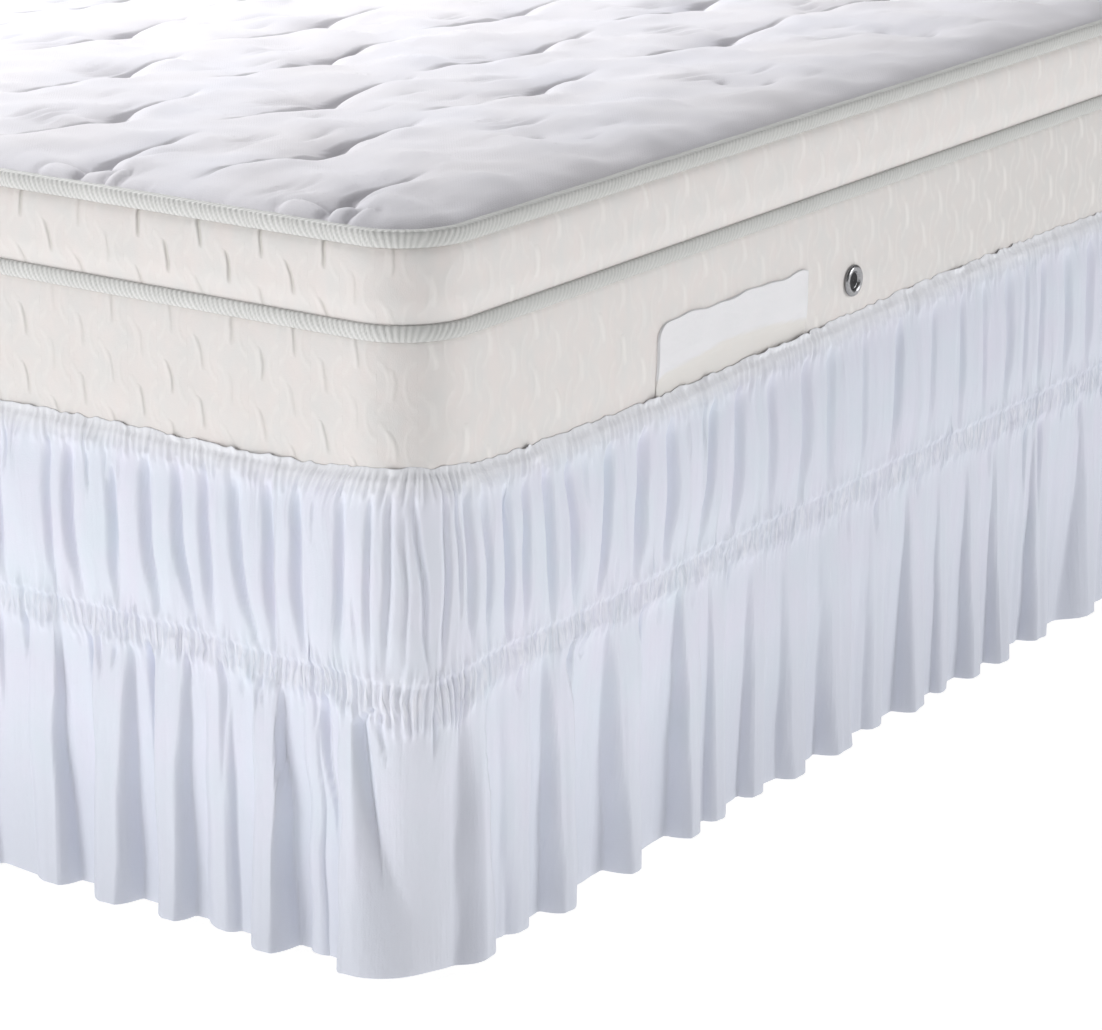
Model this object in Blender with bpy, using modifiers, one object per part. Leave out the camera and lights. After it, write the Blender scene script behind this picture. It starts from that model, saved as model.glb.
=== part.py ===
"""Gathered bed skirt round a single mattress and its bed base.

Frame: metres, +Z up, origin on the floor under the middle of the bed.
X runs across the bed, Y along it, and the foot end is at -Y.

"Along" is a distance round the mattress side, from the middle of the corner at +X, -Y.
It grows up the +X side, then goes over the head end, down the -X side and back along the foot.
"Out" is a distance outward from the mattress side.
"""
import math
import random
from collections import namedtuple

import bmesh
import bpy

MM = 0.001

# Bed
BED_WIDTH = 0.990
BED_LENGTH = 1.905
CORNER_RADIUS = 0.060
CORNER_STEPS = 8
TOUCH_GAP = 0.0003
MERGE_DISTANCE = 0.0001

# Heights above the floor
FOOT_HEIGHT = 0.030
MATTRESS_BOTTOM = 0.373
MIDDLE_SEAM = 0.519
TOP_SEAM = 0.5905
PANEL_CROWN = 0.6105

# Mattress trim
TAPE_HEIGHT = 0.0125
TAPE_PROUD = 0.003
SEAM_DEPTH = 0.009
BASE_INSET = 0.015
FOOT_RADIUS = 0.025
FOOT_INSET = 0.110
VENT_RADIUS = 0.014
VENT_FROM_END = 0.620
VENT_HEIGHT = 0.440
VENT_SIDES = 16
VENT_PROUD = 0.0034
VENT_RIM_WIDTH = 0.0068
VENT_DISH_OUT = 0.0012
PATCH_START = 0.313
PATCH_END = 0.543
PATCH_BOTTOM = 0.380
PATCH_TOP = 0.468
PATCH_THICK = 0.001
PATCH_CORNER = 0.014
PATCH_CORNER_STEPS = 4

# Skirt cloth
CLOTH_THICK = 0.0015
HEM_HEIGHT = 0.008
HEADING_CLEAR = 0.0008

# Rows of the skirt: height, the share of the full fold that shows there, and how far its folds
# have leaned: 1 at the hem or at a groove's foot, 0 where they start, -1 at a groove's top
TierRow = namedtuple("TierRow", "height fullness lean")
LOWER_ROWS = [
    TierRow(HEM_HEIGHT, 1.00, 1.00),
    TierRow(0.170, 0.82, 0.45),
    TierRow(0.227, 0.14, 0.00),
]
UPPER_ROWS = [
    TierRow(0.254, 0.26, 1.00),
    TierRow(0.320, 1.00, 0.00),
    TierRow(0.380, 0.52, -0.80),
    TierRow(0.406, 0.14, -1.00),
]
BAND_OUT = 0.005
CREST_LIMIT = 24.0
CREST_OUT = 11.0
CREST_OUT_SHARE = 0.16
WIDE_GAP = 74.0
WIDE_VALLEY_OUT = 8.0

# Lower folds by the corner at along 0, in millimetres at the hem: the crest line and how far
# it stands out, the flat valley after it, and how far the fold starts from its hem place
LowerFold = namedtuple("LowerFold", "crest crest_out valley_start valley_end valley_out lean")
LOWER_FOLDS = [
    LowerFold(-364, 14, -341, -326, -5, -9),
    LowerFold(-297, 20, -270, -258, -4, -11),
    LowerFold(-234, 19, -220, -208, 0, -9),
    LowerFold(-184, 13, -167, -157, 0, -5),
    LowerFold(-131, 24, -102, -74, -3, -4),
    LowerFold(-39, 24, -14, 24, 11, -3),
    LowerFold(54, 19, 88, 100, -3, 12),
    LowerFold(112, 6, 130, 142, -4, 8),
    LowerFold(164, 17, 204, 236, -8, 10),
    LowerFold(259, 16, 287, 332, -7, 11),
    LowerFold(351, 17, 370, 380, 2, 7),
    LowerFold(391, 13, 425, 446, -5, 5),
    LowerFold(460, 10, 482, 497, -4, 8),
    LowerFold(525, 15, 556, 578, -8, 12),
    LowerFold(600, 19, 628, 645, -5, 16),
    LowerFold(666, 8, 690, 712, -7, 12),
    LowerFold(732, 20, 755, 767, 2, 11),
    LowerFold(780, 15, 804, 820, 0, 8),
    LowerFold(835, 21, 861, 873, 2, 10),
    LowerFold(887, 24, 924, 948, -3, 9),
    LowerFold(970, 20, 1002, 1018, -4, 9),
]

# Upper folds by the same corner, in millimetres: each groove between two rounded pleats, and
# how far its top and its foot are from its middle
Groove = namedtuple("Groove", "middle top foot")
GROOVES = [
    Groove(-372, -4, 18),
    Groove(-334, -3, 12),
    Groove(-289, -6, 7),
    Groove(-255, 1, 12),
    Groove(-221, -3, 18),
    Groove(-192, -1, 6),
    Groove(-165, 0, 19),
    Groove(-132, -1, 3),
    Groove(-104, 1, 6),
    Groove(-63, 1, -2),
    Groove(-38, 1, 1),
    Groove(-24, 1, -4),
    Groove(-10, 0, 2),
    Groove(14, 1, -4),
    Groove(37, 1, 0),
    Groove(59, -2, 0),
    Groove(88, 3, -4),
    Groove(114, 0, -6),
    Groove(145, -5, 1),
    Groove(175, -3, 2),
    Groove(225, 5, -17),
    Groove(272, 8, -8),
    Groove(316, 1, -8),
    Groove(375, 7, -17),
    Groove(419, 2, -10),
    Groove(468, 2, 0),
    Groove(525, -1, -10),
    Groove(564, 8, 4),
    Groove(625, 6, 0),
    Groove(685, 9, -12),
    Groove(745, 7, -10),
    Groove(809, 0, -8),
    Groove(847, 2, -3),
    Groove(869, 1, -2),
    Groove(896, 3, -9),
    Groove(925, 1, -2),
    Groove(955, 2, 4),
]
PLEAT_OUT = 13.0
PLEAT_OUT_LEAST = 4.0
PLEAT_OUT_SHARE = 0.40
PLEAT_START_SHARE = 0.30
PLEAT_END_SHARE = 0.72
PLEAT_FAR_SIDE = 0.94
PLEAT_RISE = 0.8

# The rest of the ring, in millimetres: mean spacing and how much it varies, as a share
LOWER_SPACING = 66.0
LOWER_CORNER_SPACING = 92.0
UPPER_SPACING = 44.0
UPPER_CORNER_SPACING = 21.0
SPACING_SPREAD = 0.30
CORNER_REACH = 75.0
FOLD_SEED = 41

COLOURS = {
    "skirt_cloth": (0.80, 0.83, 0.90),
    "mattress_border": (0.84, 0.82, 0.76),
    "mattress_panel": (0.78, 0.77, 0.80),
    "edge_tape": (0.74, 0.75, 0.73),
    "patch_cloth": (0.88, 0.87, 0.84),
    "chrome": (0.62, 0.62, 0.64),
    "base_cloth": (0.55, 0.54, 0.53),
    "foot_wood": (0.16, 0.10, 0.06),
}


def clear_scene():
    for old in list(bpy.data.objects):
        bpy.data.objects.remove(old, do_unlink=True)


def make_material(name, roughness, metallic=0.0):
    material = bpy.data.materials.new(name)
    material.use_nodes = True
    shader = material.node_tree.nodes["Principled BSDF"]
    shader.inputs["Base Color"].default_value = (*COLOURS[name], 1.0)
    shader.inputs["Roughness"].default_value = roughness
    shader.inputs["Metallic"].default_value = metallic
    return material


def make_object(name, bm, material, collection):
    bmesh.ops.recalc_face_normals(bm, faces=bm.faces)
    mesh = bpy.data.meshes.new(name)
    bm.to_mesh(mesh)
    bm.free()
    mesh.materials.append(material)
    made = bpy.data.objects.new(name, mesh)
    collection.objects.link(made)
    return made


# ---- the outline round the mattress ----

def outline_runs():
    """Straight and round stretches from the middle of the first corner, as (kind, length)."""
    quarter = CORNER_RADIUS * math.pi / 2
    side = BED_LENGTH - 2 * CORNER_RADIUS
    end = BED_WIDTH - 2 * CORNER_RADIUS
    return [("round", quarter / 2), ("straight", side), ("round", quarter), ("straight", end),
            ("round", quarter), ("straight", side), ("round", quarter), ("straight", end),
            ("round", quarter / 2)]


RING_LENGTH = sum(length for _, length in outline_runs())


def side_point(along, out):
    """The point (x, y) at a distance along the mattress side and out from it."""
    left = along % RING_LENGTH
    x = BED_WIDTH / 2 - CORNER_RADIUS * (1 - math.cos(math.pi / 4))
    y = -BED_LENGTH / 2 + CORNER_RADIUS * (1 - math.cos(math.pi / 4))
    heading = math.pi / 4
    for kind, length in outline_runs():
        step = min(left, length)
        if kind == "straight":
            x += step * math.cos(heading)
            y += step * math.sin(heading)
        else:
            turn = step / CORNER_RADIUS
            x += CORNER_RADIUS * (math.sin(heading + turn) - math.sin(heading))
            y -= CORNER_RADIUS * (math.cos(heading + turn) - math.cos(heading))
            heading += turn
        left -= step
        if left <= 0:
            break
    return x + out * math.sin(heading), y - out * math.cos(heading)


def corner_places():
    """How far along, in millimetres, the middles of the other three corners are."""
    quarter = CORNER_RADIUS * math.pi / 2
    side = BED_LENGTH - 2 * CORNER_RADIUS + quarter
    end = BED_WIDTH - 2 * CORNER_RADIUS + quarter
    return [side / MM, (side + end) / MM, (2 * side + end) / MM]


def rounded_outline(inset):
    """Corner-rounded rectangle, drawn in from the mattress side by an inset."""
    radius = CORNER_RADIUS - inset
    points = []
    for quadrant, (sx, sy) in enumerate([(1, -1), (1, 1), (-1, 1), (-1, -1)]):
        centre_x = sx * (BED_WIDTH / 2 - CORNER_RADIUS)
        centre_y = sy * (BED_LENGTH / 2 - CORNER_RADIUS)
        for step in range(CORNER_STEPS + 1):
            angle = math.pi / 2 * (quadrant - 1 + step / CORNER_STEPS)
            points.append((centre_x + radius * math.cos(angle), centre_y + radius * math.sin(angle)))
    return points


# ---- solids on the bed's outline ----

def outline_loop(bm, height, inset):
    return [bm.verts.new((x, y, height)) for x, y in rounded_outline(inset)]


def join_loops(bm, lower, upper):
    count = len(lower)
    for i in range(count):
        j = (i + 1) % count
        bm.faces.new((lower[i], lower[j], upper[j], upper[i]))


def stacked_block(name, levels, material, collection):
    """A closed block through (height, inset) outlines, bottom to top."""
    bm = bmesh.new()
    loops = [outline_loop(bm, height, inset) for height, inset in levels]
    for lower, upper in zip(loops, loops[1:]):
        join_loops(bm, lower, upper)
    bm.faces.new(loops[0])
    bm.faces.new(loops[-1])
    return make_object(name, bm, material, collection)


def outline_ring(name, section, material, collection):
    """A ring with a closed (height, inset) section."""
    bm = bmesh.new()
    loops = [outline_loop(bm, height, inset) for height, inset in section]
    for lower, upper in zip(loops, loops[1:] + loops[:1]):
        join_loops(bm, lower, upper)
    return make_object(name, bm, material, collection)


def mattress_body(materials, collection):
    shoulder = MIDDLE_SEAM - TAPE_HEIGHT / 2 - TOUCH_GAP
    levels = [
        (MATTRESS_BOTTOM, 0.012),
        (MATTRESS_BOTTOM + 0.004, 0.004),
        (MATTRESS_BOTTOM + 0.012, 0.0),
        (shoulder - 0.003, 0.0),
        (shoulder, 0.0015),
        (shoulder, SEAM_DEPTH),
        (MIDDLE_SEAM - TOUCH_GAP / 2, SEAM_DEPTH),
    ]
    return stacked_block("mattress_body", levels, materials["mattress_border"], collection)


def pillow_top(materials, collection):
    low_shoulder = MIDDLE_SEAM + TAPE_HEIGHT / 2 + TOUCH_GAP
    high_shoulder = TOP_SEAM - TAPE_HEIGHT / 2 - TOUCH_GAP
    levels = [
        (MIDDLE_SEAM + TOUCH_GAP / 2, SEAM_DEPTH),
        (low_shoulder, SEAM_DEPTH),
        (low_shoulder, 0.0015),
        (low_shoulder + 0.006, 0.0),
        (high_shoulder - 0.006, 0.0),
        (high_shoulder, 0.0015),
        (high_shoulder, SEAM_DEPTH),
        (TOP_SEAM - TOUCH_GAP / 2, SEAM_DEPTH),
    ]
    return stacked_block("pillow_top", levels, materials["mattress_border"], collection)


def top_panel(materials, collection):
    levels = [
        (TOP_SEAM + TOUCH_GAP / 2, SEAM_DEPTH + TOUCH_GAP),
        (TOP_SEAM + 0.007, SEAM_DEPTH + TOUCH_GAP),
        (TOP_SEAM + 0.011, 0.016),
        (TOP_SEAM + 0.015, 0.035),
        (PANEL_CROWN - 0.002, 0.052),
        (PANEL_CROWN, 0.058),
    ]
    return stacked_block("top_panel", levels, materials["mattress_panel"], collection)


def edge_tape(name, seam, materials, collection):
    half = TAPE_HEIGHT / 2
    inner = SEAM_DEPTH - TOUCH_GAP
    section = [
        (seam - half, inner),
        (seam - half, 0.0),
        (seam - half * 0.72, -TAPE_PROUD * 0.70),
        (seam, -TAPE_PROUD),
        (seam + half * 0.72, -TAPE_PROUD * 0.70),
        (seam + half, 0.0),
        (seam + half, inner),
    ]
    return outline_ring(name, section, materials["edge_tape"], collection)


def bed_base(materials, collection):
    levels = [
        (FOOT_HEIGHT, BASE_INSET + 0.005),
        (FOOT_HEIGHT + 0.005, BASE_INSET),
        (MATTRESS_BOTTOM - TOUCH_GAP - 0.005, BASE_INSET),
        (MATTRESS_BOTTOM - TOUCH_GAP, BASE_INSET + 0.005),
    ]
    return stacked_block("bed_base", levels, materials["base_cloth"], collection)


def feet(materials, collection):
    height = FOOT_HEIGHT - TOUCH_GAP
    number = 0
    for y in (-BED_LENGTH / 2 + FOOT_INSET, 0.0, BED_LENGTH / 2 - FOOT_INSET):
        for x in (-BED_WIDTH / 2 + FOOT_INSET, BED_WIDTH / 2 - FOOT_INSET):
            number += 1
            bm = bmesh.new()
            bmesh.ops.create_cone(bm, cap_ends=True, segments=24, radius1=FOOT_RADIUS,
                                  radius2=FOOT_RADIUS, depth=height)
            bmesh.ops.translate(bm, verts=bm.verts, vec=(0, 0, height / 2))
            foot = make_object(f"foot_{number}", bm, materials["foot_wood"], collection)
            foot.location = (x, y, 0)


def vent_profile():
    """Half section of a breather vent, as (radius, distance out): its dish, its rim, its back."""
    dish = VENT_RADIUS - VENT_RIM_WIDTH
    return [
        (0.0, VENT_DISH_OUT),
        (dish, VENT_DISH_OUT),
        (dish + 0.0006, VENT_PROUD - 0.0008),
        (VENT_RADIUS - 0.0040, VENT_PROUD),
        (VENT_RADIUS - 0.0014, VENT_PROUD - 0.0004),
        (VENT_RADIUS, VENT_DISH_OUT),
        (VENT_RADIUS, 0.0),
        (0.0, 0.0),
    ]


def turned_object(name, profile, sides, material, collection):
    """A round piece about its own Z axis, from a (radius, height) profile."""
    bm = bmesh.new()
    verts = [bm.verts.new((radius, 0, height)) for radius, height in profile]
    for upper, lower in zip(verts, verts[1:]):
        bm.edges.new((upper, lower))
    turned = make_object(name, bm, material, collection)
    screw = turned.modifiers.new("turn", "SCREW")
    screw.steps = sides
    screw.render_steps = sides
    screw.use_merge_vertices = True
    screw.merge_threshold = MERGE_DISTANCE
    return turned


def vents(materials, collection):
    """Breather vents on both long sides, two to a side."""
    number = 0
    for side in (1, -1):
        for end in (-1, 1):
            number += 1
            vent = turned_object(f"vent_{number}", vent_profile(), VENT_SIDES, materials["chrome"],
                                 collection)
            vent.location = (side * (BED_WIDTH / 2 + TOUCH_GAP),
                             end * (BED_LENGTH / 2 - VENT_FROM_END), VENT_HEIGHT)
            vent.rotation_euler = (0, side * math.pi / 2, 0)


def label_patch(materials, collection):
    """A bare sewn patch on the +X side, with its two top corners rounded."""
    y_start = -BED_LENGTH / 2 + PATCH_START
    y_end = -BED_LENGTH / 2 + PATCH_END
    rim = [(y_start, PATCH_BOTTOM), (y_end, PATCH_BOTTOM)]
    for centre_y, first in ((y_end - PATCH_CORNER, 0.0), (y_start + PATCH_CORNER, math.pi / 2)):
        for step in range(PATCH_CORNER_STEPS + 1):
            angle = first + math.pi / 2 * step / PATCH_CORNER_STEPS
            rim.append((centre_y + PATCH_CORNER * math.cos(angle),
                        PATCH_TOP - PATCH_CORNER + PATCH_CORNER * math.sin(angle)))
    outline = bpy.data.curves.new("label_patch", "CURVE")
    outline.dimensions = "2D"
    outline.fill_mode = "BOTH"
    outline.extrude = PATCH_THICK / 2
    spline = outline.splines.new("POLY")
    spline.points.add(len(rim) - 1)
    for point, (y, z) in zip(spline.points, rim):
        point.co = (y, z, 0, 1)
    spline.use_cyclic_u = True
    outline.materials.append(materials["patch_cloth"])
    patch = bpy.data.objects.new("label_patch", outline)
    collection.objects.link(patch)
    patch.location = (BED_WIDTH / 2 + TOUCH_GAP + PATCH_THICK / 2, 0, 0)
    patch.rotation_euler = (math.pi / 2, 0, math.pi / 2)
    return patch


# ---- the skirt ----

def spacing_at(along, mean, at_corner):
    for corner in corner_places():
        if abs(along + mean / 2 - corner) < CORNER_REACH:
            return at_corner
    return mean


def spaced_places(start, end, mean, at_corner, chance):
    """Uneven places from start to end, stretched so that the last gap closes the ring."""
    gaps = []
    place = start
    while place < end - 0.6 * mean:
        gap = spacing_at(place, mean, at_corner) * (1 + SPACING_SPREAD * chance.uniform(-1, 1))
        gaps.append(gap)
        place += gap
    stretch = (end - start) / sum(gaps)
    places = []
    place = start
    for gap in gaps[:-1]:
        place += gap * stretch
        places.append(place)
    return places


def all_lower_folds():
    """The tabled folds, and uneven ones of the same kind for the rest of the ring."""
    chance = random.Random(FOLD_SEED)
    ring = RING_LENGTH / MM
    folds = list(LOWER_FOLDS)
    last = LOWER_FOLDS[-1].crest
    first_again = LOWER_FOLDS[0].crest + ring
    crests = spaced_places(last, first_again, LOWER_SPACING, LOWER_CORNER_SPACING, chance)
    for crest, following in zip(crests, crests[1:] + [first_again]):
        gap = following - crest
        crest_out = min(CREST_LIMIT, CREST_OUT + CREST_OUT_SHARE * gap + chance.uniform(-4, 5))
        valley_start = crest + gap * chance.uniform(0.36, 0.46)
        valley_end = crest + gap * chance.uniform(0.62, 0.76)
        valley_out = chance.uniform(-8, 2)
        if gap > WIDE_GAP:
            valley_out = WIDE_VALLEY_OUT
        lean = chance.uniform(-9, 9)
        folds.append(LowerFold(crest, crest_out, valley_start, valley_end, valley_out, lean))
    return folds


def all_grooves():
    """The tabled grooves, and uneven ones of the same kind for the rest of the ring."""
    chance = random.Random(FOLD_SEED + 1)
    ring = RING_LENGTH / MM
    grooves = list(GROOVES)
    first_again = GROOVES[0].middle + ring
    for middle in spaced_places(GROOVES[-1].middle, first_again, UPPER_SPACING,
                                UPPER_CORNER_SPACING, chance):
        grooves.append(Groove(middle, chance.uniform(-6, 6), chance.uniform(-10, 10)))
    return grooves


def heading_rest(along):
    """How far out, in millimetres, the heading's grooves lie: on the mattress, or on the patch."""
    least = (CLOTH_THICK / 2 + HEADING_CLEAR) / MM
    quarter = CORNER_RADIUS * math.pi / 4
    patch_from = (PATCH_START - CORNER_RADIUS + quarter) / MM
    patch_to = (PATCH_END - CORNER_RADIUS + quarter) / MM
    if patch_from - 12 < along < patch_to + 12:
        least += (PATCH_THICK + TOUCH_GAP) / MM
    return least


def lower_rows():
    """Rows of (along, out) in millimetres for the lower tier, hem first."""
    band_out = BAND_OUT / MM
    rows = []
    for row in LOWER_ROWS:
        places = []
        for fold in all_lower_folds():
            shift = fold.lean * (row.lean - 1)
            for along, out in ((fold.crest, fold.crest_out), (fold.valley_start, fold.valley_out),
                               (fold.valley_end, fold.valley_out)):
                places.append((along + shift, band_out + (out - band_out) * row.fullness))
        rows.append(places)
    return rows


def upper_rows():
    """Rows of (along, out) in millimetres for the upper tier, its foot first."""
    ring = RING_LENGTH / MM
    grooves = all_grooves()
    following = grooves[1:] + [grooves[0]._replace(middle=grooves[0].middle + ring)]
    rows = []
    for number, row in enumerate(UPPER_ROWS):
        at_foot = number == 0
        places = []
        for groove, after in zip(grooves, following):
            places_here = []
            for one in (groove, after):
                shift = one.foot * row.lean if row.lean > 0 else -one.top * row.lean
                places_here.append(one.middle + shift)
            start, end = places_here
            gap = end - start
            rest = (BAND_OUT / MM - 1) if at_foot else heading_rest(start)
            pleat = min(PLEAT_OUT, PLEAT_OUT_LEAST + PLEAT_OUT_SHARE * gap) * row.fullness
            places.append((start, rest))
            places.append((start + PLEAT_START_SHARE * gap, rest + PLEAT_RISE + pleat))
            places.append((start + PLEAT_END_SHARE * gap, rest + PLEAT_RISE + pleat * PLEAT_FAR_SIDE))
        rows.append(places)
    return rows


def row_verts(bm, places, height):
    """The vertices of one row of (along, out) places at a height."""
    verts = []
    for along, out in places:
        x, y = side_point(along * MM, out * MM)
        verts.append(bm.verts.new((x, y, height)))
    return verts


def zip_rows(bm, lower, lower_along, upper, upper_along, ring):
    """Triangles between two closed rows whose vertices don't match in number."""
    i = j = 0
    while i < len(lower) or j < len(upper):
        next_lower = lower_along[(i + 1) % len(lower)] + ring * ((i + 1) // len(lower))
        next_upper = upper_along[(j + 1) % len(upper)] + ring * ((j + 1) // len(upper))
        a = lower[i % len(lower)]
        b = upper[j % len(upper)]
        if j >= len(upper) or (i < len(lower) and next_lower <= next_upper):
            bm.faces.new((a, lower[(i + 1) % len(lower)], b))
            i += 1
        else:
            bm.faces.new((a, upper[(j + 1) % len(upper)], b))
            j += 1


def bed_skirt(materials, collection):
    """One closed ring of cloth: the lower tier, the shirred band, the upper tier and heading."""
    ring = RING_LENGTH / MM
    bm = bmesh.new()
    lower_places = lower_rows()
    upper_places = upper_rows()
    lower = [row_verts(bm, places, row.height) for places, row in zip(lower_places, LOWER_ROWS)]
    upper = [row_verts(bm, places, row.height) for places, row in zip(upper_places, UPPER_ROWS)]
    for rows in (lower, upper):
        for below, above in zip(rows, rows[1:]):
            join_loops(bm, below, above)
    lower_along = [along for along, _ in lower_places[-1]]
    upper_along = [along for along, _ in upper_places[0]]
    zip_rows(bm, lower[-1], lower_along, upper[0], upper_along, ring)
    skirt = make_object("bed_skirt", bm, materials["skirt_cloth"], collection)
    cloth = skirt.modifiers.new("cloth thickness", "SOLIDIFY")
    cloth.thickness = CLOTH_THICK
    cloth.offset = 0.0
    cloth.use_even_offset = True
    return skirt


def main():
    clear_scene()
    collection = bpy.data.collections.new("bed_skirt_on_bed")
    bpy.context.scene.collection.children.link(collection)
    materials = {
        "skirt_cloth": make_material("skirt_cloth", 0.85),
        "mattress_border": make_material("mattress_border", 0.75),
        "mattress_panel": make_material("mattress_panel", 0.80),
        "edge_tape": make_material("edge_tape", 0.60),
        "patch_cloth": make_material("patch_cloth", 0.70),
        "chrome": make_material("chrome", 0.15, metallic=1.0),
        "base_cloth": make_material("base_cloth", 0.90),
        "foot_wood": make_material("foot_wood", 0.50),
    }
    feet(materials, collection)
    bed_base(materials, collection)
    mattress_body(materials, collection)
    edge_tape("tape_middle", MIDDLE_SEAM, materials, collection)
    pillow_top(materials, collection)
    edge_tape("tape_top", TOP_SEAM, materials, collection)
    top_panel(materials, collection)
    vents(materials, collection)
    label_patch(materials, collection)
    bed_skirt(materials, collection)


main()
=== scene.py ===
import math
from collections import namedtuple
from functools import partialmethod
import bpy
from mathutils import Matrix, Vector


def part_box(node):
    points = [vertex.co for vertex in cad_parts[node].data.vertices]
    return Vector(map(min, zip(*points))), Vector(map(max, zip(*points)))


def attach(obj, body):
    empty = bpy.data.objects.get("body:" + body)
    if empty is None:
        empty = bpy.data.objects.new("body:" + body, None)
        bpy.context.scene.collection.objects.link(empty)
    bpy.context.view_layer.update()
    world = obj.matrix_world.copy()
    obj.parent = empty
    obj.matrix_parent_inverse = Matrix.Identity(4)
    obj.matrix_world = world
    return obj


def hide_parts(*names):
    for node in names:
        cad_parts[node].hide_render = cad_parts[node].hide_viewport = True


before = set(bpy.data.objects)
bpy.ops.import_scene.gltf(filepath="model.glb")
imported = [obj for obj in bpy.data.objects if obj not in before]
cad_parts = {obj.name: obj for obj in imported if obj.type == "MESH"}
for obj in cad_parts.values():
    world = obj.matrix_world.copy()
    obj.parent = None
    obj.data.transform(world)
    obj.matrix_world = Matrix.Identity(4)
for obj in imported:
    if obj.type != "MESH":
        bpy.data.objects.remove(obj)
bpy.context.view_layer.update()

# Looks of the gathered bed skirt on its mattress: fine cloth, tufted top, trim, materials, light.
# Places along, widths and distances out of the folds are in millimetres; heights and everything
# else are in metres.
# "Along" runs round the mattress side from the middle of the corner at +X, -Y, up the +X side
# first; "out" is a distance outward from the mattress side.
from types import SimpleNamespace

import bpy
import numpy as np
from mathutils import Vector

MM = 0.001

# Bed, as in the CAD
BED_WIDTH = 0.990
BED_LENGTH = 1.905
CORNER_RADIUS = 0.060
MATTRESS_BOTTOM = 0.373
MIDDLE_SEAM = 0.519
TOP_SEAM = 0.5905
PANEL_CROWN = 0.6105
TAPE_HEIGHT = 0.0125
SEAM_DEPTH = 0.009
PATCH_START = 0.313
PATCH_END = 0.543
PATCH_BOTTOM = 0.380
PATCH_TOP = 0.468
PATCH_CORNER = 0.014

# Skirt heights
HEM = 0.008
MIDDLE_BAND_LOW = 0.2265
BAND_MIDDLE = 0.2405
MIDDLE_BAND_HIGH = 0.2545
HEADING_BAND_LOW = 0.3855
HEADING_MIDDLE = 0.3955
HEADING_TOP = 0.406
BAND_OUT = 6.5
HEADING_REST = 1.55
PATCH_REST = 2.85

# How much higher than its usual height the hem, the middle band and the heading lie: along, mm
HEM_LIFTS = [(-700, 1), (-360, 0), (30, 0), (150, 6), (1040, 6), (1500, 1)]
BAND_LIFTS = [(-700, 4), (-360, 6), (-280, 5), (-200, 3.5), (-140, -0.5), (-60, -1.5), (-12, -8),
              (6, -8), (24, -1), (46, 6), (70, 8), (200, 8), (400, 9), (1040, 10), (1500, 4)]
HEADING_LIFTS = [(-700, 2), (-360, 3.5), (-200, 3), (-100, 4.5), (-50, 7), (0, 10), (40, 7),
                 (100, 3), (200, 0), (300, 0), (400, 1), (500, 3), (700, 6), (850, 7), (1500, 2)]

# Lower folds by the corner at along 0: the flat crest at the hem and how far it stands out, the
# flat valley after it, and the places at the band where the cloth starts to rise before the
# crest and to fall after it
LowerFold = namedtuple("LowerFold", "crest_start crest_end crest_out valley_start valley_end "
                                    "valley_out rise_top fall_top")
LOWER_FOLDS = [LowerFold(*row) for row in (
    (-371, -357, 14, -345, -333, -5, -385, -350), (-302, -289, 20, -276, -261, -4, -318, -271),
    (-239, -228, 19, -219, -210, 0, -252, -214), (-188, -180, 11, -168, -160, 2, -200, -172),
    (-137, -124, 24, -112, -100, -3, -150, -121), (-95, -89, 3, -81, -70, -1, -102, -87),
    (-56, -49, 21, 14, 25, 2, -66, -48), (50, 58, 14, 78, 92, -1, 27, 50),
    (103, 112, 6, 126, 142, -4, 75, 118), (152, 164, 17, 196, 239, -8, 135, 178),
    (248, 259, 16, 283, 331, -7, 222, 275), (340, 351, 17, 366, 375, 2, 328, 360),
    (382, 391, 13, 418, 443, -5, 376, 405), (450, 460, 10, 478, 498, -4, 440, 470),
    (510, 525, 15, 550, 569, -8, 491, 535), (580, 600, 19, 624, 646, -5, 553, 612),
    (655, 666, 8, 686, 703, -7, 640, 680), (714, 732, 20, 752, 765, 2, 706, 745),
    (771, 780, 15, 800, 816, 0, 764, 792), (825, 835, 21, 857, 868, 2, 818, 848),
    (876, 887, 24, 919, 944, -3, 870, 905), (955, 970, 20, 998, 1015, -4, 948, 985),
)]

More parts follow.
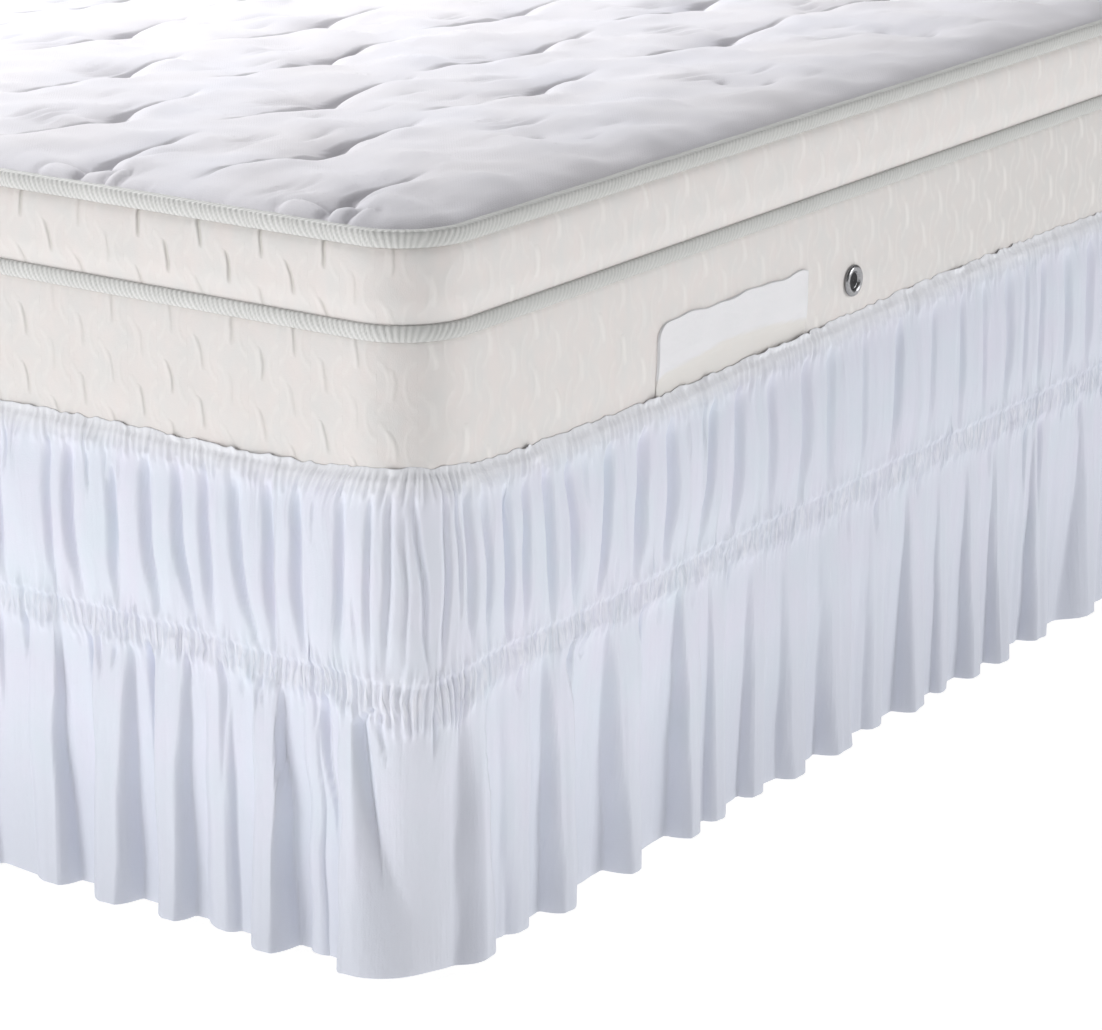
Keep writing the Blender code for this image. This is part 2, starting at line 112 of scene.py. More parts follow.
# Upper folds by the same corner: each groove between two rounded pleats, how far its top and its
# foot are from its middle, its width, and the heights where it ends
Groove = namedtuple("Groove", "middle top foot wide low high")
GROOVES = [Groove(*row) for row in (
    (-352, 0, 5, 10, 0.250, 0.386), (-331, 2, 13, 13, 0.249, 0.388), (-308, -3, 2, 6, 0.344, 0.389),
    (-285, 0, 5, 13, 0.249, 0.372), (-291, -1, 0, 6, 0.352, 0.389), (-277, 1, -5, 5, 0.350, 0.388),
    (-249, -2, 11, 14, 0.250, 0.389), (-217, -3, 17, 13, 0.249, 0.390), (-189, -3, 6, 12, 0.250, 0.390),
    (-180, -2, 0, 4, 0.362, 0.388), (-159, -3, 20, 13, 0.248, 0.391), (-127, -2, 4, 12, 0.250, 0.389),
    (-101, 0, 7, 12, 0.249, 0.390), (-84, -1, 0, 4, 0.345, 0.388), (-60, 2, -2, 10, 0.252, 0.391),
    (-47, 1, 4, 4, 0.250, 0.310), (-35, 1, 0, 6, 0.248, 0.393), (-21, 1, -4, 6, 0.248, 0.393),
    (-10, -2, -1, 4, 0.249, 0.380), (1, -6, 4, 6, 0.247, 0.396), (17, 0, -4, 6, 0.247, 0.394),
    (27, -2, 2, 4, 0.290, 0.390), (36, -2, 2, 9, 0.247, 0.394), (55, -4, 0, 9, 0.250, 0.390),
    (82, -2, -2, 13, 0.249, 0.384), (105, 1, -2, 10, 0.250, 0.386), (138, -4, 4, 15, 0.249, 0.388),
    (169, -5, 4, 13, 0.250, 0.385), (187, 0, 0, 6, 0.335, 0.387), (217, 6, -13, 15, 0.251, 0.387),
    (229, 0, 0, 6, 0.252, 0.285), (264, 9, -7, 19, 0.252, 0.389), (309, 2, -9, 17, 0.251, 0.388),
    (333, 1, 0, 5, 0.345, 0.388), (366, 9, -14, 13, 0.251, 0.388), (356, 3, 0, 6, 0.340, 0.389),
    (411, 3, -9, 17, 0.251, 0.388), (463, 1, 0, 15, 0.252, 0.388), (518, 2, -8, 19, 0.252, 0.388),
    (560, 4, 1, 16, 0.253, 0.388), (620, 2, -4, 9, 0.252, 0.386), (678, 5, -11, 14, 0.253, 0.384),
    (740, 5, -8, 9, 0.254, 0.386), (794, 2, -4, 11, 0.254, 0.386), (836, 0, 1, 10, 0.254, 0.384),
    (884, -2, -6, 14, 0.254, 0.388), (918, 2, -4, 8, 0.254, 0.386), (950, 2, -6, 12, 0.254, 0.386),
)]

# Darts that hang from the middle band: place there, place at the point, height of the point, width
Dart = namedtuple("Dart", "start end point wide")
DARTS = [Dart(*row) for row in (
    (-47, -29, 0.072, 10), (-316, -314, 0.160, 10), (-286, -291, 0.200, 8), (-253, -254, 0.130, 12),
    (-199, -198, 0.204, 6), (-160, -162, 0.205, 7), (-143, -142, 0.200, 6), (-101, -99, 0.205, 5),
    (-81, -73, 0.110, 12), (-33, -23, 0.178, 7), (-20, -15, 0.203, 6), (10, 8, 0.185, 6),
    (50, 53, 0.208, 7), (92, 106, 0.198, 7), (115, 116, 0.214, 5), (163, 178, 0.160, 10),
    (181, 194, 0.203, 6), (201, 201, 0.220, 4), (248, 249, 0.216, 5), (272, 276, 0.165, 12),
    (303, 306, 0.200, 7), (345, 347, 0.206, 6), (405, 407, 0.204, 7), (424, 426, 0.215, 5),
    (520, 522, 0.200, 5), (588, 590, 0.214, 6), (602, 604, 0.190, 6), (648, 656, 0.178, 8),
    (724, 726, 0.200, 6), (860, 862, 0.190, 6), (932, 934, 0.150, 8),
)]

# Along, in millimetres: where the ring's negative places start, where what differs on the near
# side and the head end starts and ends, and how far from a corner the far folds start, and over
# how much more they set in
RING_START = -1500
SIDE_START = -40
SIDE_END = 3100
FAR_START = 260
FAR_REACH = 260

# The flat facet of cloth just past the corner, which the cloth's painted shade darkens, and how
# wide the corner's own pull is on the cloth and on the spacing of the fine pleats, in millimetres
FACET_START = 22
FACET_END = 51
CORNER_PULL = 48
CORNER_CROWDING = 90

# Spacing and limits of the folds on the rest of the ring, in millimetres
LOWER_SPACING = 66.0
LOWER_CORNER_SPACING = 92.0
UPPER_SPACING = 44.0
UPPER_CORNER_SPACING = 21.0
CORNER_REACH = 75.0
CREST_LIMIT = 24.0

# How far out the rounded pleats of the upper tier stand, and the width over which a groove parts
# two of them, in millimetres
PLEAT_OUT = 9.0
PARTING_WIDTH = 7

# Heights where the lower folds and the darts start, and where the upper grooves are at their middle
LOWER_TIER_TOP = 0.230
DART_TOP = 0.229
UPPER_MIDDLE = 0.330

# Fine pleats of the shirred bands, and the joined lengths that the skirt is made of
PLEAT_COUNT = 800
COLUMNS_PER_PLEAT = 4
SKIRT_PIECES = 4

# Sizes of the fine pleats: how many of them one lobe spans, its offset, the least and the most
# that it stands out in millimetres, and the least and the most that its ends run on in metres
PLEAT_SIZES = ((1, 0.0, 1.4, 3.0, 0.004, 0.013), (2, 0.25, 0.2, 1.6, 0.005, 0.022),
               (4, 0.125, 0.0, 1.7, 0.012, 0.046))

# The shirred bands: low edge, middle and high edge; the heading's pleats run out at its top
BANDS = ((MIDDLE_BAND_LOW, BAND_MIDDLE, MIDDLE_BAND_HIGH), (HEADING_BAND_LOW, HEADING_MIDDLE, 1.0))

# Heights of the skirt's rows, closer together where the cloth is shirred: from, to and step
HEIGHT_RUNS = ((HEM, 0.192, 0.0095), (0.198, MIDDLE_BAND_LOW, 0.0032),
               (MIDDLE_BAND_LOW, MIDDLE_BAND_HIGH, 0.0019), (MIDDLE_BAND_HIGH, 0.274, 0.0030),
               (0.276, 0.360, 0.0052), (0.361, HEADING_BAND_LOW, 0.0031),
               (HEADING_BAND_LOW, HEADING_TOP - 0.0008, 0.0017))
HEIGHTS = np.concatenate([np.arange(*run) for run in HEIGHT_RUNS] + [[HEADING_TOP]])

# Uneven waves of the skirt round the ring: name, spacing in millimetres and spread. The slants
# lean the fine pleats, the drags move the cloth in and out, the shifts move the folds along;
# "edge" and "hem" are in metres, the rest in millimetres.
SKIRT_WAVES = (
    ("slant_low", 17, 3.6), ("slant_high", 16, 3.6), ("slant_heading", 19, 7.5),
    ("stand_off", 11, 1.4), ("hem_lift", 150, 0.8), ("band_lift", 150, 0.8),
    ("heading_lift", 150, 0.8), ("edge", 7, 0.0015), ("hem", 60, 0.0016), ("drag_tall", 37, 1.1),
    ("drag_low", 19, 0.6), ("drag_high", 29, 0.9), ("drag_fine", 13, 0.45),
    ("shift_low_sine", 45, 2.6), ("shift_low_cosine", 33, 1.8), ("shift_high_sine", 41, 0.9),
    ("shift_high_cosine", 26, 0.8), ("streak", 8, 0.75),
)

# The row that the cloth's length is measured on
MEASURED_ROW = 8

# Rows that the hem and the heading turn over, and how far inside the turned cloth lies
HEM_TURNED = (3, 2, 1, 0)
HEADING_TURNED = (-2, -3, -4)
HEM_INSIDE = 0.0011
HEADING_INSIDE = 0.0010

# The mattress borders: columns round, where the low one starts to swell, how far each swells
BORDER_COLUMNS = 640
BORDER_START = 0.404
BORDER_SWELL = 0.0021
PILLOW_SWELL = 0.0030
BORDER_SHOULDER = MIDDLE_SEAM - TAPE_HEIGHT / 2

# The border's sunk dashes, darkened with painted shade: width of a column and height of a row
DASH_COLUMN = 0.030
DASH_ROW = 0.048

# The overcast tapes: stitches round, columns to a stitch, thickness of the tape and its thread,
# and the rows from the tape's low edge at -1 to its high edge at 1, the two end ones hidden
STITCHES = 1150
COLUMNS_PER_STITCH = 4
TAPE_THICK = 0.0022
THREAD_THICK = 0.0010
TAPE_ROWS = (-1.0, -1.0, -0.86, -0.45, 0.0, 0.45, 0.86, 1.0, 1.0)

# The tufts: first row, spacing, rows, the x of each in even and odd rows; beyond which x and y
# they are shallow, which is the last column but for its first; and how far the two holes of a
# shallow one lie from its middle
TUFT_ROW_START = -0.913
TUFT_ROW_STEP = 0.142
TUFT_ROWS = 14
TUFT_COLUMNS = ((-0.3075, -0.0725, 0.1625, 0.3975), (-0.425, -0.190, 0.045, 0.280))
SHALLOW_X = 0.35
SHALLOW_Y = -0.88
HOLE_X = 0.019
HOLE_Y = 0.010

# The puffs between a tuft of the first row and the tape: how far from the tuft and half width of
# each; then their middle and half their length in y
PUFFS = ((-0.0235, 0.0205), (0.0100, 0.0120), (0.0300, 0.0085))
PUFF_Y = -0.9375
PUFF_HALF_LENGTH = 0.0165

# The panel: steps of its grid across and along, columns round a corner, height of its edge over
# the seam, and how far in from the edge the rings round the grid lie
PANEL_STEP_X = 0.0031
PANEL_STEP_Y = 0.0085
PANEL_CORNER_COLUMNS = 10
PANEL_EDGE = 0.003
PANEL_INSETS = (0.056, 0.051, 0.046, 0.041, 0.036, 0.031, 0.026, 0.022, 0.018, 0.0145, 0.0115,
                0.009, 0.0068, 0.005, 0.0035)

# A vent's section: radius and distance out, from the rim's back to the middle of the gauze; how
# far out its back stands, and the first row of faces that is gauze
VENT_COLUMNS = 48
VENT_OUT = 0.0022
VENT_SECTION = ((0.0134, 0.0), (0.0140, 0.0008), (0.0139, 0.0019), (0.0132, 0.0028),
                (0.0120, 0.0034), (0.0104, 0.0035), (0.0090, 0.0030), (0.0080, 0.0022),
                (0.0075, 0.0012), (0.0071, 0.0008), (0.0048, 0.0011), (0.0024, 0.0013),
                (0.0003, 0.0013))
GAUZE_ROW = 9

# Lower edge of the white part of the patch: distance from the near end, height; then where its
# back lies, and the pitch of the slack in its edges
PATCH_LINE = ((0.0, 0.4180), (0.010, 0.4220), (0.052, 0.4254), (0.103, 0.4310), (0.163, 0.4290),
              (0.230, 0.4210))
PATCH_BACK = BED_WIDTH / 2 + 0.0005
PATCH_WAVE = 0.096

# The camera: focal length and picture width in pixels, sensor width, turn, tilt, and how far it
# stands from the near corner of the bed on the floor, before its distance is scaled
FOCAL_PIXELS = 3876
PICTURE_PIXELS = 1102
SENSOR = 36.0
CAMERA_YAW = math.radians(-34.72)
CAMERA_PITCH = math.radians(17.39)
CAMERA_STAND = (1.679, -2.253, 1.275)
CAMERA_SCALE = 0.978

# Lamps: name, place, where it points, size and power
LAMPS = (("left", (-3.3, -5.75, 1.8), (0.0, -0.95, 0.3), 3.0, 162),
         ("right", (9.0, 5.6, 2.7), (0.5, -0.2, 0.3), 4.7, 390),
         ("back", (-3.0, 5.0, 1.8), (0.0, 0.8, 0.3), 2.0, 36),
         ("top", (-1.1, -0.1, 2.2), (0.0, -0.4, 0.6), 1.3, 46),
         ("front", (3.4, -4.8, 1.6), (0.45, -0.9, 0.3), 1.0, 23))
FLOOR_REACH = 14.0


# ---- the outline round the mattress ----

CORNER_ARC = CORNER_RADIUS * math.pi / 2
STRAIGHT_SIDE = BED_LENGTH - 2 * CORNER_RADIUS
STRAIGHT_END = BED_WIDTH - 2 * CORNER_RADIUS

# Stretches from the middle of the first corner round to it again: round, straight, round, ...
STRETCHES = (CORNER_ARC / 2, STRAIGHT_SIDE, CORNER_ARC, STRAIGHT_END, CORNER_ARC, STRAIGHT_SIDE,
             CORNER_ARC, STRAIGHT_END, CORNER_ARC / 2)
RING = sum(STRETCHES)
RING_MM = RING / MM

# How far along, in millimetres, the middles of the four corners are, and the first one again
CORNERS = np.cumsum([0.0] + 2 * [STRAIGHT_SIDE + CORNER_ARC, STRAIGHT_END + CORNER_ARC]) / MM


def run_starts():
    """Where each stretch starts: along, x, y, heading, and its turn per metre."""
    rows = []
    along = 0.0
    x = BED_WIDTH / 2 - CORNER_RADIUS * (1 - math.cos(math.pi / 4))
    y = -BED_LENGTH / 2 + CORNER_RADIUS * (1 - math.cos(math.pi / 4))
    heading = math.pi / 4
    for number, length in enumerate(STRETCHES):
        turn = 0.0 if number % 2 else 1 / CORNER_RADIUS
        rows.append((along, x, y, heading, turn))
        if turn:
            end = heading + length * turn
            x += CORNER_RADIUS * (math.sin(end) - math.sin(heading))
            y -= CORNER_RADIUS * (math.cos(end) - math.cos(heading))
            heading = end
        else:
            x += length * math.cos(heading)
            y += length * math.sin(heading)
        along += length
    return np.array(rows)


RUNS = run_starts()


def side_points(along, out):
    """Points (x, y) at distances along the mattress side and out from it, in metres."""
    along = np.mod(along, RING)
    run = np.clip(np.searchsorted(RUNS[:, 0], along, side="right") - 1, 0, len(RUNS) - 1)
    start, x, y, heading, turn = np.moveaxis(RUNS[run], -1, 0)
    step = along - start
    end = heading + step * turn
    x_round = x + CORNER_RADIUS * (np.sin(end) - np.sin(heading))
    y_round = y - CORNER_RADIUS * (np.cos(end) - np.cos(heading))
    x_line = x + step * np.cos(heading)
    y_line = y + step * np.sin(heading)
    side_x = np.where(turn > 0, x_round, x_line) + out * np.sin(end)
    side_y = np.where(turn > 0, y_round, y_line) - out * np.cos(end)
    return side_x, side_y


def from_corner(place):
    """How far places along are from the nearest corner's middle, in millimetres."""
    return np.abs(np.asarray(place)[..., None] - CORNERS).min(axis=-1)


# ---- small tools ----

def eased(t):
    """0 to 1 with a soft start and end."""
    t = np.clip(t, 0.0, 1.0)
    return t * t * (3 - 2 * t)


def clipped(t):
    """A single number kept from 0 to 1."""
    return min(1.0, max(0.0, t))


def bell(share):
    """1 at 0, falling to 0 on both sides."""
    return np.exp(-share ** 2)


def stacked(*values):
    """Points or pairs from arrays, made as large as each other first."""
    return np.stack(np.broadcast_arrays(*values), axis=-1)


def signed(along):
    """Places in millimetres, those before the first corner as negative ones."""
    return np.mod(along - RING_START, RING_MM) + RING_START


def ring_gap(along, knots):
    """Which gap between the sorted knots each place is in, and how far through it, 0 to 1."""
    ends = np.concatenate([[knots[-1] - RING_MM], knots, [knots[0] + RING_MM]])
    place = np.mod(along, RING_MM)
    gap = np.clip(np.searchsorted(ends, place, side="right") - 1, 0, len(knots))
    return gap, (place - ends[gap]) / np.maximum(ends[gap + 1] - ends[gap], 1e-6)


def ring_eased(along, knots, values):
    """Values eased from knot to knot round the ring, and whether they rise or fall there."""
    wrapped = np.mod(knots, RING_MM)
    order = np.argsort(wrapped, kind="stable")
    gap, share = ring_gap(along, wrapped[order])
    levels = values[order][np.arange(-1, len(order) + 1) % len(order)]
    step = levels[gap + 1] - levels[gap]
    return levels[gap] + step * eased(share), np.sign(step)


def ring_noise(along, spacing, chance, spread=1.0):
    """Smooth uneven values round the ring, about -spread to spread."""
    count = max(4, int(round(RING_MM / spacing)))
    knots = (np.arange(count) + chance.uniform(-0.3, 0.3, count)) * RING_MM / count
    return ring_eased(along, knots, chance.uniform(-spread, spread, count))[0]


def ring_table(along, table):
    """Values in millimetres from an (along, value) table; the end values run on."""
    places, values = zip(*table)
    return np.interp(signed(along), places, values)


def lifted(height, hem, band, heading):
    """How much higher a row lies, from the lifts of the hem, the band and the heading."""
    if height < BAND_MIDDLE:
        share = (height - HEM) / (BAND_MIDDLE - HEM)
        return (hem + (band - hem) * share) * MM
    share = min(1.0, (height - BAND_MIDDLE) / (HEADING_MIDDLE - BAND_MIDDLE))
    return (band + (heading - band) * share) * MM


def grid_faces(rows, columns, closed):
    """Quads of a grid, columns running along and rows running up."""
    i = np.arange(columns if closed else columns - 1)
    j = np.arange(rows - 1)[:, None] * columns
    right = (i + 1) % columns
    return np.stack([j + i, j + right, j + columns + right, j + columns + i], axis=-1).reshape(-1, 4)


def grid_normals(points):
    """Normals of a closed grid of points, pointing out."""
    along = np.roll(points, -1, axis=1) - np.roll(points, 1, axis=1)
    normal = np.cross(along, np.gradient(points, axis=0))
    return normal / np.maximum(np.linalg.norm(normal, axis=-1, keepdims=True), 1e-12)


def make_mesh(name, verts, faces, material, corner_uv=None, normals=None):
    """A smooth mesh, with a "cloth" UV pair for each corner of each face."""
    mesh = bpy.data.meshes.new(name)
    mesh.from_pydata(verts, [], faces)
    mesh.shade_smooth()
    if corner_uv is not None:
        layer = mesh.uv_layers.new(name="cloth")
        layer.data.foreach_set("uv", np.ascontiguousarray(corner_uv, np.float32).ravel())
    if normals is not None:
        mesh.normals_split_custom_set_from_vertices(normals)
    mesh.materials.append(material)
    return linked(name, mesh)


def linked(name, data):
    """An object of the scene with this data."""
    made = bpy.data.objects.new(name, data)
    bpy.context.scene.collection.objects.link(made)
    return made


def make_grid(name, points, material, uv, closed=False, normals=None):
    """A mesh of a grid; the UV grid of a closed one has one column more, to close the ring."""
    rows, columns = points.shape[:2]
    corners = grid_faces(rows, uv.shape[1], False).ravel()
    return make_mesh(name, points.reshape(-1, 3), grid_faces(rows, columns, closed), material,
                     uv.reshape(-1, 2)[corners], normals)


def add_layer(piece, name, values):
    """A number on every vertex, for the material."""
    layer = piece.data.attributes.new(name, "FLOAT", "POINT")
    layer.data.foreach_set("value", values.astype(np.float32).ravel())


def ring_along(columns):
    """Distances along from the far corner right round to it again, one more than the columns."""
    return (np.arange(columns + 1) / columns - 0.5) * RING


def near_side(along):
    """1 on the near long side and the head end, 0 on the foot end and the far side, eased between."""
    place = signed(along / MM)
    return eased((place - SIDE_START) / 60) * (1 - eased((place - SIDE_END) / 100))


# ---- the skirt ----

def spaced_places(start, end, mean, at_corner, chance):
    """Uneven places from start to end, stretched so that the last gap closes the ring."""
    gaps = []
    place = start
    while place < end - 0.6 * mean:
        usual = at_corner if from_corner(place + mean / 2) < CORNER_REACH else mean
        gap = usual * (1 + 0.30 * chance.uniform(-1, 1))
        gaps.append(gap)
        place += gap
    stretch = (end - start) / sum(gaps)
    return start + np.cumsum(gaps[:-1]) * stretch


def all_lower_folds():
    """The tabled folds, and uneven ones of the same kind for the rest of the ring."""
    chance = np.random.default_rng(41)
    folds = list(LOWER_FOLDS)
    first_again = LOWER_FOLDS[0].crest_start + RING_MM
    crests = spaced_places(LOWER_FOLDS[-1].crest_end, first_again, LOWER_SPACING,
                           LOWER_CORNER_SPACING, chance)
    for crest, following in zip(crests, np.append(crests[1:], first_again)):
        gap = following - crest
        front = chance.uniform(9, 15)
        steep = chance.uniform(9, 14)
        crest_out = min(CREST_LIMIT, 11 + 0.16 * gap + chance.uniform(-4, 5))
        valley_out = 8.0 if gap > 74 else chance.uniform(-8, 2)
        if chance.random() < 0.5:
            valley = (crest + front + steep, crest + gap * chance.uniform(0.66, 0.76))
        else:
            valley = (crest + front + gap * chance.uniform(0.26, 0.34), following - steep)
        folds.append(LowerFold(crest, crest + front, crest_out, *valley, valley_out,
                               crest - chance.uniform(4, 12), crest + front + chance.uniform(2, 9)))
    return np.array(folds, float)


def all_grooves():
    """The tabled grooves, and uneven ones of the same kind for the rest of the ring."""
    chance = np.random.default_rng(42)
    grooves = list(GROOVES)
    first_again = GROOVES[0].middle + RING_MM
    for middle in spaced_places(GROOVES[-1].middle, first_again, UPPER_SPACING,
                                UPPER_CORNER_SPACING, chance):
        at_corner = from_corner(middle) < CORNER_REACH
        wide = chance.uniform(5, 9) if at_corner else chance.uniform(11, 18)
        grooves.append(Groove(middle, chance.uniform(-6, 6), chance.uniform(-10, 10), wide,
                              chance.uniform(0.248, 0.256), chance.uniform(0.384, 0.391)))
        if chance.random() < 0.35:
            grooves.append(Groove(middle + wide, 0, 0, 5, 0.345, 0.388))
    return np.array(grooves, float)


def all_darts():
    """The tabled darts, and uneven ones of the same kind for the rest of the ring."""
    chance = np.random.default_rng(43)
    darts = list(DARTS)
    place = DARTS[-1].start + 30
    while place < DARTS[0].start + RING_MM - 25:
        point = MIDDLE_BAND_LOW - chance.uniform(0.010, 0.040) - 0.07 * (chance.random() < 0.2)
        darts.append(Dart(place, place + chance.uniform(-5, 8), point, chance.uniform(5, 10)))
        place += chance.uniform(20, 60)
    return np.array(darts, float)


def creased(along, centre, half, deep):
    """Depth of V creases with these middles, half widths and depths, in millimetres."""
    is_open = half > 0.3
    away = np.abs((along[:, None] - centre[is_open] + RING_MM / 2) % RING_MM - RING_MM / 2)
    inside = 1.04 - np.sqrt((away / half[is_open]) ** 2 + 0.02)
    share = (inside + np.sqrt(inside ** 2 + 0.012)) / 2
    return (share * deep[is_open] * (inside > -1.5)).sum(axis=1)


def far_along(place):
    """1 far from the corners on the near side and the head end, 0 near a corner and elsewhere."""
    return eased((from_corner(place) - FAR_START) / FAR_REACH) * (near_side(place * MM) > 0.5)


def lower_tier(along, height, folds, darts):
    """How far out the lower tier is, and its sideways roll, in millimetres."""
    fold = LowerFold(*folds.T)
    fallen = clipped((LOWER_TIER_TOP - height) / (LOWER_TIER_TOP - HEM))
    quick = fallen ** 0.42
    slow = fallen ** 1.8
    far = far_along(fold.crest_start)
    full = fallen ** (0.60 + 0.55 * far) * (1 - 0.28 * far)
    crest_start = fold.rise_top + (fold.crest_start - fold.rise_top) * quick
    crest_end = fold.fall_top + (fold.crest_end - fold.fall_top) * quick
    next_rise = np.append(fold.rise_top[1:], fold.rise_top[0] + RING_MM)
    next_start = np.append(crest_start[1:], crest_start[0] + RING_MM)
    valley_start = fold.fall_top + (fold.valley_start - fold.fall_top) * slow
    valley_start = np.maximum(valley_start, crest_end + 2.0)
    valley_end = np.minimum(next_rise + (fold.valley_end - next_rise) * slow, next_start - 2.0)
    valley_end = np.maximum(valley_end, valley_start + 0.5)
    knots = np.concatenate([crest_start, crest_end, valley_start, valley_end])
    outs = np.concatenate([fold.crest_out, fold.crest_out, fold.valley_out, fold.valley_out])
    out, _ = ring_eased(along, knots, BAND_OUT + (outs - BAND_OUT) * np.tile(full, 4))
    in_valley, slope = ring_eased(along, knots, np.repeat([0.0, 0.0, 1.0, 1.0], len(folds)))
    roll = slope * 7.7 * fallen ** 0.60 * in_valley * (1 - in_valley)
    return out - dart_depth(along, height, darts), roll


def dart_depth(along, height, darts):
    """The short V folds that hang from the middle band."""
    dart = Dart(*darts.T)
    share = np.clip((height - dart.point) / (DART_TOP - dart.point), 0, 1)
    share = share * clipped((0.233 - height) / 0.020) ** 0.8
    centre = dart.end + (dart.start - dart.end) * share
    half = (dart.wide / 2 + 1) * share ** 0.6
    return creased(along, centre, half, 0.75 * dart.wide * share ** 0.7)


def upper_tier(along, height, grooves):
    """How far out the upper tier is, in millimetres."""
    groove = Groove(*grooves.T)
    to_foot = clipped((UPPER_MIDDLE - height) / 0.074) ** 1.4
    to_top = clipped((height - UPPER_MIDDLE) / 0.055)
    centre = groove.middle + groove.foot * to_foot + groove.top * to_top
    spread = (np.clip((height - groove.low) / 0.045, 0, 1) ** 0.45
              * np.clip((groove.high - height) / 0.016, 0, 1) ** 0.4)
    puff = max(0.0, math.sin(math.pi * clipped((height - 0.251) / 0.149))) ** 0.5
    rest = heading_rest(along)
    rest = rest + (BAND_OUT - 0.5 - rest) * to_foot
    parts = groove.wide > PARTING_WIDTH
    deep = np.minimum(10.0, np.where(parts, 0.62, 0.90) * groove.wide) * spread * puff
    deep *= 1 - 0.40 * far_along(groove.middle)
    _, share = ring_gap(along, np.sort(np.mod(centre[parts], RING_MM)))
    dome = 1 - np.abs(2 * share - 1) ** 2.5
    front = rest + 0.8 + (PLEAT_OUT - 1 + 1.8 * dome) * puff
    return front - creased(along, centre, groove.wide / 2 * spread, deep)


def heading_rest(along):
    """How far out the heading's grooves lie: on the mattress, or on the patch."""
    start = (PATCH_START - CORNER_RADIUS + CORNER_ARC / 2) / MM
    end = (PATCH_END - CORNER_RADIUS + CORNER_ARC / 2) / MM
    place = np.mod(along, RING_MM)
    over = eased((place - start + 14) / 12) * eased((end + 14 - place) / 12)
    return HEADING_REST + (PATCH_REST - HEADING_REST) * over


def pleat_places(chance):
    """Where the fine pleats' crests are along the bands: closer round the corners."""
    base = np.linspace(0, RING_MM, PLEAT_COUNT * 4, endpoint=False)
    density = 1 + 0.35 * bell(from_corner(base) / CORNER_CROWDING)
    density *= 1 + 0.28 * ring_noise(base, 23, chance)
    total = np.concatenate([[0], np.cumsum(density)])
    ends = np.append(base, RING_MM)
    return np.interp(np.arange(PLEAT_COUNT + 1) / PLEAT_COUNT * total[-1], total, ends)


def lobes(position, per, offset, low, high, chance):
    """Rounded lobes with sharp valleys between, each with its own size, and which lobe it is."""
    count = PLEAT_COUNT // per
    x = position / per + offset
    which = np.mod(np.rint(x).astype(int), count)
    size = chance.uniform(low, high, count)[which]
    return size * np.abs(np.cos(math.pi * x)), which


def fine_pleats(position, corner):
    """The shirring's small pleats as a grid of millimetres out, rows by columns."""
    chance = np.random.default_rng(44)
    rows = HEIGHTS[:, None]
    total = np.zeros((len(HEIGHTS), len(position)))
    for per, offset, low, high, short, long in PLEAT_SIZES:
        count = PLEAT_COUNT // per
        for bottom, middle, top in BANDS:
            size, which = lobes(position, per, offset, low, high, chance)
            edge = (middle + chance.uniform(-0.0065, 0.0065, count))[which]
            for is_upper in (False, True):
                if is_upper and per > 1:
                    size, _ = lobes(position, per, offset, low, high, chance)
                reach = (short + (long - short) * chance.random(count) ** 2.2)[which]
                start = chance.uniform(-0.0050, 0.0035, count)[which]
                if is_upper:
                    away = np.maximum(0, rows - top - start)
                    share = eased((rows - edge) / 0.005 + 0.5)
                else:
                    longer = 0.014 * corner * (bottom < 0.3)
                    away = np.maximum(0, bottom - start - longer - rows)
                    share = eased((edge - rows) / 0.005 + 0.5) * (1 - 0.12 * eased(away / 0.006))
                total += size * np.exp(-(away / reach) ** 1.3) * share
    return total * np.where(rows < 0.35, 1 + 0.3 * corner, 0.85)


def skirt_ring():
    """What the rows of the skirt share: places along, folds, fine pleats and uneven waves."""
    chance = np.random.default_rng(45)
    position = np.arange(PLEAT_COUNT * COLUMNS_PER_PLEAT) / COLUMNS_PER_PLEAT
    along = np.interp(position, np.arange(PLEAT_COUNT + 1), pleat_places(chance))
    corner = bell(from_corner(along) / CORNER_PULL)
    waves = {name: ring_noise(along, spacing, chance, spread)
             for name, spacing, spread in SKIRT_WAVES}
    return SimpleNamespace(
        along=along, folds=all_lower_folds(), grooves=all_grooves(), darts=all_darts(),
        corner=corner, pleats=fine_pleats(position, corner), far=far_along(along),
        facet=eased((along - FACET_START) / 6) * eased((FACET_END - along) / 7),
        near_side=near_side(along * MM - 0.080),
        hem_height=ring_table(along, HEM_LIFTS) + waves["hem_lift"],
        band_height=ring_table(along, BAND_LIFTS) + waves["band_lift"],
        heading_height=ring_table(along, HEADING_LIFTS) + waves["heading_lift"], **waves)


def row_shares(height):
    """How much of each movement the row at a height takes part in, from 0 to 1."""
    away = {"below": MIDDLE_BAND_LOW - height, "above": height - MIDDLE_BAND_HIGH,
            "heading": HEADING_BAND_LOW - height}
    return SimpleNamespace(
        hang=float(eased((0.215 - height) / 0.08)),
        puff=float(eased((height - 0.262) / 0.03) * eased((0.385 - height) / 0.03)),
        upper=float(eased((height - 0.234) / 0.014)),
        **{name: bell(max(0, gap) / 0.030) for name, gap in away.items()})


def row_places(height, row, ring):
    """Where the columns of a row are along, and the places in the folds that they take."""
    place = ring.along.copy()
    if height < BAND_MIDDLE:
        place += ring.slant_low * (BAND_MIDDLE - height) / 0.020 * row.below
    else:
        place += ring.slant_high * (height - BAND_MIDDLE) / 0.020 * row.above
    if height > 0.32:
        place += ring.slant_heading * (HEADING_MIDDLE - height) / 0.020 * row.heading
    low = ring.shift_low_sine * math.sin(height * 38) + ring.shift_low_cosine * math.cos(height * 67)
    high = ring.shift_high_sine * math.sin(height * 61) + ring.shift_high_cosine * math.cos(height * 90)
    return place, place + row.hang * low + row.puff * high


